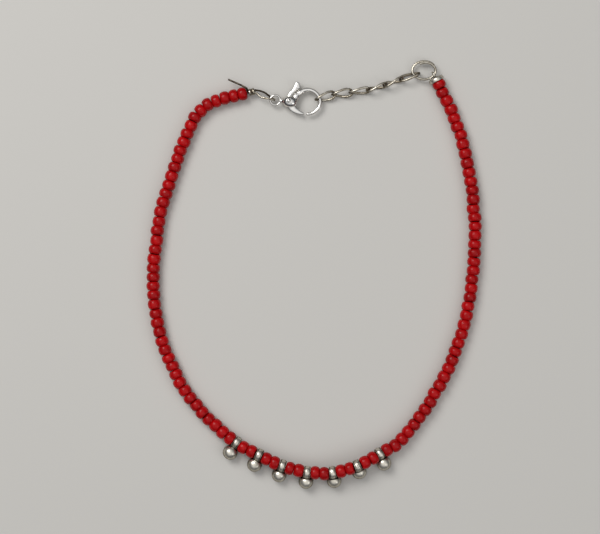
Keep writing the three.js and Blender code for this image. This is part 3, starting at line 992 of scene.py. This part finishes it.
@dataclass
class LobsterClasp:
    """Cast clasp: a bulb with an eye and a hook, a sprung lever in its slot, and the rivet."""

    loop: Loop
    length: float = 11.7
    bulb_length: float = 3.5  # along the clasp
    # Places are shares of the length, from the rivet
    bulb_centre: Pair = (0.0171, -0.0128)
    eye_centre: Pair = (-0.2632, 0.0231)
    eye_radius: float = 1.1  # to the middle of its wire
    eye_wire: float = 0.25  # its radius
    neck_radius: float = 0.5
    hook_radii: Triple = (0.33, 0.47, 1.05)  # at the tip, the crown and the root
    lever_half: float = 0.5  # half its thickness
    hub_radius: float = 0.9
    clearance: float = 0.18  # round the lever in its slot
    opening: float = 28.0  # degrees that the lever swings
    rivet_radius: float = 0.35
    rivet_half: float = 1.39  # half its length
    rivet_play: float = 0.06
    # Each place has a third value, for its radius: 0 the tip's, 1 the crown's, 2 the root's
    hook_line: tuple[Triple, ...] = (
        (0.073, -0.03, 2), (0.124, 0.077, 1.6), (0.192, 0.156, 1.3), (0.278, 0.205, 1.1),
        (0.382, 0.22, 1), (0.491, 0.178, 0.9), (0.564, 0.096, 0.75), (0.597, 0, 0.6),
        (0.579, -0.098, 0.5), (0.515, -0.178, 0.35), (0.432, -0.231, 0.2), (0.332, -0.249, 0),
    )
    thumb: tuple[Pair, ...] = (
        (0.038, 0.064), (0.073, 0.145), (0.145, 0.218), (0.207, 0.255), (0.205, 0.33),
        (0.186, 0.359), (0.156, 0.368), (0.128, 0.357), (0.112, 0.33), (0.073, 0.235),
        (-0.009, 0.145), (-0.043, 0.026),
    )
    gate: tuple[Pair, ...] = (
        (-0.034, -0.043), (0.013, -0.158), (0.103, -0.222), (0.248, -0.258), (0.291, -0.239),
        (0.252, -0.209), (0.137, -0.124), (0.068, -0.03),
    )
    voxel: float = 0.055
    lever_voxel: float = 0.05
    crown: float = 0.32  # share of the lever's thickness that its rounded faces lose at the edge
    crown_width: float = 0.6  # how far in from the edge they reach
    pivot: Vector = field(init=False)

    def __post_init__(self) -> None:
        """Find the pivot's place."""
        self.pivot = self.loop.place(*self.loop.clasp_pivot, self.loop.bulb_diameter / 2)

    def spot(self, x: float, y: float) -> Vector:
        """Give a place on the clasp's middle plane, from the pivot."""
        return Vector((x * self.length, y * self.length, 0.0))

    def disc(self, radius: float, sides: int) -> list[Vector]:
        """Give the corners of a disc round the rivet."""
        return [Vector((x, y, 0.0)) for x, y in circle(radius, sides)]

    def plate(self, bm: Bmesh, corners: Sequence[Vector], half: float) -> None:
        """Add a flat plate of an outline, centred on the clasp's middle plane.

        Args:
            bm: the mesh that it is added to.
            corners: the outline's corners, in order.
            half: half the plate's thickness.
        """
        verts = [bm.verts.new((c.x, c.y, -half)) for c in corners]
        face = bm.faces.new(verts)
        grown = bmesh.ops.extrude_face_region(bm, geom=[face], use_keep_orig=True)["geom"]
        raised = [g for g in grown if isinstance(g, bmesh.types.BMVert)]
        bmesh.ops.translate(bm, vec=(0, 0, 2 * half), verts=raised)

    def fan(self, outline: Sequence[Pair], near: float, far: float) -> Pair:
        """Give the angles that an arm of the lever sweeps between two distances from the rivet.

        Args:
            outline: the arm's outline.
            near: the smaller distance.
            far: the larger distance.

        Returns:
            The least and the greatest angle in degrees, with its play.
        """
        points = [self.spot(*corner) for corner in outline]
        angles = []
        for start, end in zip(points, points[1:] + points[:1]):
            for place in (start.lerp(end, k / 24) for k in range(24)):
                if near <= place.length <= far:
                    play = math.degrees(self.clearance / place.length)
                    angle = math.degrees(math.atan2(place.y, place.x))
                    angles += [angle - play, angle + play]
        return min(angles), max(angles) + self.opening

    def slot_corners(self) -> list[Vector]:
        """Give the outline of the slot that the lever turns in.

        Returns:
            Its corners, in order round the rivet.
        """
        hub = self.hub_radius + self.clearance
        reach = self.bulb_length / 2 + hub / 2
        halfway = (self.hub_radius + reach) / 2
        inner = [self.fan(arm, self.hub_radius, halfway) for arm in (self.thumb, self.gate)]
        outer = [self.fan(arm, halfway, reach) for arm in (self.thumb, self.gate)]
        corners = []
        for i in range(2):
            following = inner[1 - i][0] + (360 if i == 0 else 0)
            for begin, end, radius in ((*outer[i], reach), (inner[i][1], following, hub)):
                for k in range(9):
                    angle = math.radians(begin + (end - begin) * k / 8)
                    corners.append(Vector((math.cos(angle), math.sin(angle), 0.0)) * radius)
        return corners

    def build_body(self, plating: Material) -> None:
        """Cast the bulb, neck, eye and hook in one, and cut the slot and the rivet's hole.

        Args:
            plating: its material.
        """
        bm = bmesh.new()
        eye = self.spot(*self.eye_centre)
        to_bulb = self.spot(*self.bulb_centre) - eye
        way = to_bulb.normalized()
        reach, half, width = to_bulb.length, self.bulb_length / 2, self.loop.bulb_diameter / 2
        rows = [(0.0, self.eye_radius - 0.15), (self.neck_radius * 0.8, self.eye_radius - 0.1)]
        rows += [(self.neck_radius, self.eye_radius + 0.35)]
        for k in range(3, 33):
            angle = math.pi * k / 32
            cone = self.neck_radius + (width - self.neck_radius) * min(k / 16, 1.0) ** 1.3
            wide = max(width * math.sin(angle), cone if k < 16 else 0.0)
            rows.append((wide, reach - half * math.cos(angle)))
        turn = UP.rotation_difference(way).to_matrix().to_4x4()
        turned(bm, rows, 64, Matrix.Translation(eye) @ turn)
        wire = circle(self.eye_wire, 20, 1.15)
        torus(bm, self.eye_radius, wire, 72, Matrix.Translation(eye))
        path = Path([self.spot(x, y) for x, y, _ in self.hook_line])
        tip, crown, root = self.hook_radii
        table = []
        for i, (_, _, t) in enumerate(self.hook_line):
            radius = crown + (root - crown) * (t - 1) if t > 1 else tip + (crown - tip) * t
            table.append((path.distance_to(i), radius))
        places = even(path.length, 96)
        radii = [smoothed(table, at) for at in places]
        radii[-1] *= 0.8
        sweep(bm, [path.level_frame(at) for at in places], radii, 32)
        bm = fuse(bm, self.voxel, 9)
        slot = bmesh.new()
        self.plate(slot, self.slot_corners(), self.lever_half + self.clearance)
        bm = fuse(self.drilled(cut_away(bm, slot)), self.voxel, 2)
        # Painted shade in the slot and round the rivet's hole
        paint(bm, "shade_and_tarnish", self.shade_and_tarnish)
        bmesh.ops.translate(bm, vec=self.pivot, verts=bm.verts)
        finish_piece(bm, "clasp_body", plating, Slot.PLATING)

    def shade_and_tarnish(self, point: Vector) -> float:
        """Say where the body is dull and darkened by painted shade: in its slot and round the
        rivet.

        Args:
            point: the place, from the pivot.

        Returns:
            From 0, bright, to 1, dull and in painted shade.
        """
        near = math.hypot(point.x, point.y)
        inside = abs(point.z) < self.lever_half + self.clearance + 0.04 and near < 1.2
        hole = math.exp(-((near - self.rivet_radius - self.rivet_play) / 0.07) ** 2)
        return max(0.7 if inside else 0.0, 0.6 * hole)

    def drilled(self, bm: Bmesh) -> Bmesh:
        """Cut the rivet's hole.

        Args:
            bm: the shape, which is freed.

        Returns:
            The shape with its hole.
        """
        drill = bmesh.new()
        corners = self.disc(self.rivet_radius + self.rivet_play, 32)
        self.plate(drill, corners, self.loop.bulb_diameter)
        return cut_away(bm, drill)

    def build_lever(self, plating: Material) -> None:
        """Stamp the lever's thumb tab, hub and gate in one.

        Args:
            plating: its material.
        """
        bm = bmesh.new()
        edge: list[Vector] = []
        for outline in (self.thumb, self.gate):
            points = Path([self.spot(*c) for c in outline], closed=True, fineness=12)
            corners = [points.at(at) for at in even(points.length, 96)[:-1]]
            self.plate(bm, corners, self.lever_half)
            edge += corners
        self.plate(bm, self.disc(self.hub_radius, 48), self.lever_half)
        bm = fuse(self.drilled(fuse(bm, self.lever_voxel, 4)), self.lever_voxel, 2)
        rim = kdtree.KDTree(len(edge))
        for i, corner in enumerate(edge):
            rim.insert(corner, i)
        rim.balance()
        for vert in bm.verts:
            inside = min(rim.find(Vector((vert.co.x, vert.co.y, 0.0)))[2] / self.crown_width, 1.0)
            vert.co.z *= 1 - self.crown * (1 - inside) ** 2
        bmesh.ops.translate(bm, vec=self.pivot, verts=bm.verts)
        finish_piece(bm, "clasp_lever", plating, Slot.PLATING, Body.LEVER)

    def build_rivet(self, plating: Material) -> None:
        """Turn the rivet with its two domed heads.

        Args:
            plating: its material.
        """
        bm = bmesh.new()
        r, h = self.rivet_radius, self.rivet_half
        shares = ((0.0, 0.0), (0.4, 0.01), (0.75, 0.05), (0.94, 0.11), (1.0, 0.2))
        head = [(r * share, h - fall) for share, fall in shares]
        outline = head + [(a, -b) for a, b in reversed(head)]
        turned(bm, outline, 40, Matrix.Translation(self.pivot))
        finish_piece(bm, "clasp_rivet", plating, Slot.PLATING)

    def build(self, plating: Material) -> None:
        """Build the clasp's three parts.

        Args:
            plating: the material of all three.
        """
        self.build_body(plating)
        self.build_lever(plating)
        self.build_rivet(plating)


@dataclass
class CrimpedEnd:
    """The crimp tube and the wire loop that holds the clasp's eye."""

    string: BeadString
    clasp: LobsterClasp
    crimp_radius: float = 0.775
    crimp_bore: float = 0.6
    crimp_length: float = 1.3
    crimp_gap: float = 0.45  # from the string's end
    squeeze: float = 0.86  # its height to its width
    wire_radius: float = 0.21
    strand: float = 0.23  # from the crimp's middle to each strand in it
    loop_width: float = 1.7  # outside
    clearance: float = 0.14  # between the wire and the eye
    turn_depth: float = 0.85  # how far inside the eye's rim the wire turns, in its radii
    tail_length: float = 4.5
    tail_aside: float = 1.0  # from the string's line
    tail_rise: float = 1.12  # above it
    tail_drop: float = 0.5  # how much lower its cut end lies
    tail_angle: float = 154.0  # degrees from X

    def off(self, along: float, sideways: float, rise: float) -> Vector:
        """Give a place from the string's end, measured away from the beads."""
        start = self.string.path.level_frame(0.0)
        return start.point - start.along * along - UP.cross(start.along) * sideways + UP * rise

    def build_crimp(self, steel: Material) -> None:
        """Turn the tube, and squeeze it a little flat.

        Args:
            steel: its material.
        """
        bm = bmesh.new()
        half = self.crimp_length / 2
        o, b = self.crimp_radius, self.crimp_bore
        wall = [
            (b, 0.0), (b, half * 0.9), (b + 0.05, half), (o - 0.07, half), (o - 0.01, half * 0.88),
            (o - 0.02, half * 0.5), (o - 0.07, half * 0.2),
        ]
        outline = wall + [(o - 0.08, 0.0)] + [(r, -z) for r, z in reversed(wall[1:])]
        away = -self.string.path.level_frame(0.0).along
        spot = Frame.level(self.off(self.crimp_gap + half, 0, 0), away)
        squeezed = Matrix.Diagonal((1.0, self.squeeze, 1.0, 1.0))
        turned(bm, outline + outline[:1], 40, spot.matrix() @ squeezed)
        bore = b + 0.03
        # Painted shade inside the bore, and only a little on the outside
        paint(bm, "shade_and_tarnish", lambda at: (
            0.8 if (at - spot.point).cross(away).length < bore else 0.1
        ))
        finish_piece(bm, "crimp_tube", steel, Slot.STEEL)

    def wire_path(self) -> Path:
        """Give the wire's line: from the crimp round the clasp's eye, back, and on to its tail.

        Returns:
            The line, from one cut end to the other.
        """
        off, gap, length = self.off, self.crimp_gap, self.crimp_length
        eye = self.clasp.pivot + self.clasp.spot(*self.clasp.eye_centre)
        rim_radius = self.clasp.eye_radius
        far = off(gap + length, 0, 0)
        to_eye = Vector(((eye - far).x, (eye - far).y, 0.0)).normalized()
        beside = UP.cross(to_eye)
        rim = eye - to_eye * rim_radius
        hop = self.clasp.eye_wire + self.wire_radius + self.clearance
        bow = self.loop_width / 2 - self.wire_radius
        halfway = far.lerp(rim, 0.5)
        tail = math.radians(self.tail_angle)
        tail_start = off(gap * 0.3, self.tail_aside, self.tail_rise)
        tail_way = Vector((math.cos(tail), math.sin(tail), 0.0)) * self.tail_length
        return Path([
            off(gap, -self.strand, 0),
            off(gap + length, -self.strand, 0),
            halfway - beside * bow + UP * hop / 2,
            rim - beside * self.strand + UP * hop,
            rim + to_eye * rim_radius * self.turn_depth,
            rim + beside * self.strand - UP * hop,
            halfway + beside * bow - UP * hop / 2,
            off(gap + length, self.strand, 0),
            off(gap * 0.8, self.strand, 0),
            off(gap * 0.48, self.strand + 2 * self.wire_radius, self.tail_rise / 2),
            tail_start,
            tail_start + tail_way - UP * self.tail_drop,
        ])

    def build_wire(self, steel: Material) -> None:
        """Bend the wire, with painted shade: brighter on the strand that lies on top and darker
        beyond the eye, where it lies lower.

        Args:
            steel: its material.
        """
        path = self.wire_path()
        bm = bmesh.new()
        rod(bm, path, self.wire_radius, 130, 14)
        turn = path.distance_to(5)
        # Painted shade along the wire: light up to the eye, dark on the lower strand beyond it and
        # on the tail
        knots = [(0.0, 0.05), (turn - 1.0, 0.05), (turn + 0.6, 0.5), (path.length, 0.55)]
        places = even(path.length, 260)
        line = kdtree.KDTree(len(places))
        for i, distance in enumerate(places):
            line.insert(path.at(distance), i)
        line.balance()
        paint(bm, "shade_and_tarnish", lambda at: smoothed(knots, places[line.find(at)[1]]))
        finish_piece(bm, "end_wire", steel, Slot.STEEL)

    def build(self, steel: Material) -> None:
        """Build the crimp tube and the wire.

        Args:
            steel: the material of both.
        """
        self.build_crimp(steel)
        self.build_wire(steel)


@dataclass
class Extender:
    """The end cup with its eyelet, the open ring, and the chain of twisted links."""

    string: BeadString
    clasp: LobsterClasp
    link_count: int = 6
    link_width: float = 2.5  # outside
    wire_radius: float = 0.25
    swell: float = 0.02  # what the plating adds to the wire
    slack: float = 0.15  # play between two links
    squareness: float = 0.85  # 1 is an ellipse, less is boxier
    # Degrees at the start and end of each link
    rolls: tuple[Pair, ...] = (
        (90.0, 5.0), (95.0, 5.0), (95.0, 40.0), (130.0, 50.0), (140.0, 50.0), (140.0, 105.0),
    )
    # Shares of the clasp's length from the rivet, and rise in link widths
    hook_hang: tuple[Triple, ...] = ((0.5068, 0.0308, 0.0), (0.688, 0.1051, -0.06))
    # Shares of half the loop's width and length, and rise in link widths
    route: tuple[Triple, ...] = (
        (0.1801, 0.9188, 0.46), (0.2982, 0.927, 0.5), (0.3974, 0.9472, 0.52), (0.5094, 0.98, 0.5),
    )
    # Shares of the ring's reach and breadth, and the same rise
    ring_hang: tuple[Triple, ...] = ((-1.2, -0.6, 0.46), (-0.4, -0.31, 0.5))
    ring_reach: float = 2.63  # half its length, to the middle of its wire
    ring_breadth: float = 2.03  # half its width
    ring_turns: float = 1.236  # of wire
    ring_start: float = 118.0  # degrees, where its inner end lies
    ring_step: float = 0.62  # sets how high the inner end lies over the outer
    ring_dip: float = 0.55  # how much lower the side away from the eyelet lies
    eyelet_angle: float = -34.0  # degrees, where the eyelet holds the ring
    cup_length: float = 1.0
    cup_clearance: float = 0.15  # to the last bead
    cup_overlap: float = 0.2  # over the last bead
    cup_rim: float = 0.2  # wider than a bead all round
    seam_half: float = 0.07  # half the seam's width
    seam_depth: float = 0.86  # the wire's radius there, of the whole
    rub: float = 0.035  # what the links have worn off each other's ends
    face_radius: float = 0.95  # of the cup's floor
    eyelet_radius: float = 0.68  # to the middle of its wire
    eyelet_wire: float = 0.22  # its radius
    voxel: float = 0.06
    cup_spot: Frame = field(init=False)
    ring_place: Vector = field(init=False)

    def __post_init__(self) -> None:
        """Find the cup's frame and the ring's middle."""
        self.cup_spot = self.string.path.level_frame(self.string.path.length)
        middle = self.cup_spot.point + self.cup_spot.along * self.eyelet_distance()
        self.ring_place = middle - self.on_ring(math.radians(self.eyelet_angle))

    def on_ring(self, angle: float) -> Vector:
        """Give a place on the ring's oval from its middle."""
        return Vector((self.ring_reach * math.cos(angle), self.ring_breadth * math.sin(angle), 0))

    def eyelet_distance(self) -> float:
        """Give the eyelet's middle from the string's end."""
        return self.cup_length - self.cup_overlap + self.eyelet_radius - self.eyelet_wire / 2

    def link_path(self, length: float, start_roll: float, end_roll: float) -> Path:
        """Give a link's centre line: an oval along X whose plane rolls from end to end.

        Args:
            length: the link's outer length.
            start_roll: degrees that its plane is rolled at the start.
            end_roll: the same at the end.

        Returns:
            The closed line, about the origin.
        """
        reach, breadth = length / 2 - self.wire_radius, self.link_width / 2 - self.wire_radius
        points = []
        for k in range(16):
            angle = 2 * math.pi * k / 16
            c, s = math.cos(angle), math.sin(angle)
            along = math.copysign(abs(c) ** self.squareness, c)
            aside = math.copysign(abs(s) ** self.squareness, s) * breadth
            roll = math.radians(start_roll + (end_roll - start_roll) * (along + 1) / 2)
            points.append(Vector((along * reach, aside * math.cos(roll), aside * math.sin(roll))))
        return Path(points, closed=True)

    def build_link(
        self, index: int, start: Vector, end: Vector, length: float, steel: Material
    ) -> None:
        """Build one twisted link, with the fine seam where its wire was closed.

        Args:
            index: its place in the chain.
            start: middle of its wire at one end.
            end: the same at the other.
            length: its outer length.
            steel: its material.
        """
        rolls = self.rolls[index]
        path = self.link_path(length, *rolls)
        reach = length / 2 - self.wire_radius
        seam = path.length * 0.25
        soft = [seam + self.seam_half * share for share in (-1, -0.5, 0, 0.5, 1)]
        places = sorted([p for p in even(path.length, 56) if abs(p - seam) > 0.1] + soft)
        frames, radii = [], []
        for at in places:
            point, along = path.at(at), path.way(at)
            share = (point.x / reach + 1) / 2
            roll = math.radians(rolls[0] + (rolls[1] - rolls[0]) * share)
            out = along.cross(Vector((0, -math.sin(roll), math.cos(roll)))).normalized()
            frames.append(Frame(point, along, out, out.cross(along)))
            rubbed = self.rub * max(0.0, (abs(point.x) / reach - 0.75) / 0.25)
            closing = self.seam_depth if abs(at - seam) < 0.02 else 1.0
            radii.append((self.wire_radius + self.swell - rubbed) * closing)
        bm = bmesh.new()
        sweep(bm, frames, radii, 16, closed=True)
        closed_at = path.at(seam)

        def shade_and_tarnish(at: Vector) -> float:
            """Say how dark a place is: painted shade on the link's inner side, and the seam."""
            inner = max(0.0, 1 - math.hypot(at.y, at.z) / 0.95)
            return min(0.55 * inner + (0.5 if (at - closed_at).length < 0.27 else 0.0), 1.0)

        # Painted shade on the link's inner side; the seam darker too
        paint(bm, "shade_and_tarnish", shade_and_tarnish)
        way = (end - start).normalized()
        side = UP.cross(way).normalized()
        turn = Matrix((way, side, way.cross(side))).transposed().to_4x4()
        place = Matrix.Translation((start + end) / 2) @ turn
        bmesh.ops.transform(bm, matrix=place, verts=bm.verts)
        finish_piece(bm, f"chain_link_{index + 1}", steel, Slot.STEEL)

    def build_chain(self, steel: Material) -> None:
        """Hang the links from the clasp's hook to the ring.

        Args:
            steel: the links' material.
        """
        clasp, loop, wide = self.clasp, self.string.loop, self.link_width
        hang = self.hook_hang
        points = [clasp.pivot + clasp.spot(x, y) + UP * rise * wide for x, y, rise in hang]
        points += [loop.place(across, along, rise * wide) for across, along, rise in self.route]
        for x, y, rise in self.ring_hang:
            place = self.ring_place + Vector((x * self.ring_reach, y * self.ring_breadth, 0.0))
            points.append(Vector((place.x, place.y, rise * wide + loop.shift.z)))
        line = Path(points, fineness=100)
        wire = 2 * self.wire_radius
        pitch = (line.length - wire - self.slack) / self.link_count
        length = pitch + 2 * wire + self.slack
        reach = (length - wire) / 2
        for i in range(self.link_count):
            middle = reach + i * pitch
            self.build_link(i, line.at(middle - reach), line.at(middle + reach), length, steel)

    def build_cup(self, silver: Material) -> None:
        """Turn the cup over the last bead and fuse its eyelet to it.

        Args:
            silver: its material.
        """
        outer = self.string.loop.bead_radius + self.cup_rim
        back, lip = self.cup_length - self.cup_overlap, -self.cup_overlap
        outline = [
            (0.0, self.cup_clearance), (self.face_radius, self.cup_clearance),
            (outer - 0.2, lip + 0.05), (outer - 0.1, lip), (outer - 0.02, lip + 0.06),
            (outer, lip + 0.2), (outer - 0.01, back - 0.45), (outer - 0.09, back - 0.22),
            (outer - 0.3, back - 0.06), (outer - 0.6, back), (0.0, back + 0.02),
        ]
        bm = bmesh.new()
        turned(bm, outline, 72, Matrix.Identity(4))
        place = Matrix.Translation((0, 0, self.eyelet_distance()))
        upright = place @ Matrix.Rotation(math.pi / 2, 4, "Y")
        torus(bm, self.eyelet_radius, circle(self.eyelet_wire, 18), 48, upright)
        bm = fuse(bm, self.voxel, 2)
        # Painted shade, with oxide, on the cup's back round where the eyelet joins it
        paint(bm, "shade_and_tarnish", lambda at: (
            0.7 * math.exp(-((at.z - back) / 0.16) ** 2) if math.hypot(at.x, at.y) < 1.1 else 0.0
        ))
        bmesh.ops.transform(bm, matrix=self.cup_spot.matrix(), verts=bm.verts)
        finish_piece(bm, "end_cap", silver, Slot.SILVER)

    def build_ring(self, steel: Material) -> None:
        """Bend the open ring, its cut ends lying over each other.

        Args:
            steel: its material.
        """
        steps = 24
        held = math.radians(self.eyelet_angle)
        points = []
        for k in range(steps + 1):
            angle = math.radians(self.ring_start - k / steps * self.ring_turns * 360)
            inward = 1 - 0.2 * max(0.0, 1 - 3 * k / steps)
            step = self.ring_step * max(0.0, 0.6 - 2 * k / steps)
            dip = self.ring_dip * (1 - math.cos(angle - held)) / 2
            points.append(self.ring_place + self.on_ring(angle) * inward + UP * (step - dip))
        bm = bmesh.new()
        rod(bm, Path(points), self.wire_radius + self.swell, 120, 18)
        bm.verts.layers.float.new("shade_and_tarnish")
        finish_piece(bm, "extender_ring", steel, Slot.STEEL)

    def build(self, steel: Material, silver: Material) -> None:
        """Build the chain, the cup and the ring.

        Args:
            steel: the material of the chain and the ring.
            silver: that of the cup.
        """
        self.build_chain(steel)
        self.build_cup(silver)
        self.build_ring(steel)


@dataclass
class Studio:
    """A plain pale floor, soft daylight from the upper left, and the camera over the table."""

    view_centre: Pair = (-3.133, 1.654)  # mm, under the middle of the picture
    view_width: float = 134.1  # mm across the picture at the beads' height
    lens: float = 100.0
    sensor: float = 36.0
    bead_height: float = 1.5
    floor_half: float = 1.5  # m
    floor_colour: str = "#CAC7C1"
    sky_low: str = "#2E2F32"
    sky_middle: str = "#5A5C60"
    sky_high: str = "#D0D2D5"

    def build_camera(self) -> None:
        """Set the camera straight over the anklet, as in the photograph."""
        data = bpy.data.cameras.new("camera")
        data.lens, data.sensor_width = self.lens, self.sensor
        data.clip_start, data.clip_end = 0.01, 10.0
        camera = bpy.data.objects.new("camera", data)
        height = self.view_width * self.lens / self.sensor + self.bead_height
        camera.location = Vector((*self.view_centre, height)) * METRE
        bpy.context.scene.collection.objects.link(camera)
        bpy.context.scene.camera = camera

    def build_floor(self) -> None:
        """Lay the floor: matt card with a very fine tooth."""
        made, place = blank_material("pale matt card")
        tooth = add_node(
            made, "TexNoise", {"Scale": 1 / (0.5 * METRE), "Detail": 3.0}, {"Vector": place}
        )
        bump = add_node(
            made, "Bump", {"Strength": 0.05, "Distance": 0.02 * METRE}, {"Height": tooth}
        )
        colour = linear(self.floor_colour)
        surfaced(made, {"Base Color": colour, "Roughness": 0.85}, {"Normal": bump})
        bm = bmesh.new()
        bmesh.ops.create_grid(bm, x_segments=1, y_segments=1, size=self.floor_half)
        floor = linked(bm, "floor")
        floor.data.materials.append(made)

    def build_lights(self) -> None:
        """Hang a large soft key, a weak fill, and a room that is darker low down."""
        for name, place, size, power in (
            ("key", (-230.0, 260.0, 420.0), 300.0, 1.45),
            ("fill", (320.0, -200.0, 300.0), 260.0, 0.2),
        ):
            data = bpy.data.lights.new(name, "AREA")
            data.shape, data.size, data.energy = "DISK", size * METRE, power
            lamp = bpy.data.objects.new(name, data)
            lamp.location = Vector(place) * METRE
            lamp.rotation_mode = "QUATERNION"
            lamp.rotation_quaternion = (-lamp.location).to_track_quat("-Z", "Y")
            bpy.context.scene.collection.objects.link(lamp)
        world = bpy.data.worlds.new("room")
        world.use_nodes = True
        world.node_tree.nodes.clear()
        way = add_node(world, "TexCoord", out="Generated")
        height = add_node(world, "SeparateXYZ", links={"Vector": way}, out="Z")
        sky = add_node(world, "ValToRGB", links={"Fac": height}, stops=[
            (0.0, self.sky_low), (0.45, self.sky_middle), (0.8, self.sky_high), (0.97, "#FFFFFF"),
        ])
        room = add_node(world, "Background", {"Strength": 1.0}, {"Color": sky})
        add_node(world, "OutputWorld", links={"Surface": room})
        bpy.context.scene.world = world
        bpy.context.scene.view_settings.view_transform = "Standard"

    def build(self) -> None:
        """Build the whole studio."""
        self.build_camera()
        self.build_floor()
        self.build_lights()


def main() -> None:
    """Build the studio and each sub-assembly."""
    logging.basicConfig(level=logging.INFO, format="%(name)s %(message)s")
    Studio().build()
    metals = (BRIGHT_PLATING, ANTIQUE_SILVER, TARNISHED_STEEL)
    plating, silver, steel = (metal.material() for metal in metals)
    loop = Loop()
    string = BeadString(loop)
    string.build(RedGlass().material(), Thread().material())
    Drops(string).build(silver)
    clasp = LobsterClasp(loop)
    clasp.build(plating)
    CrimpedEnd(string, clasp).build(steel)
    Extender(string, clasp).build(steel, silver)


if __name__ == "__main__":
    main()
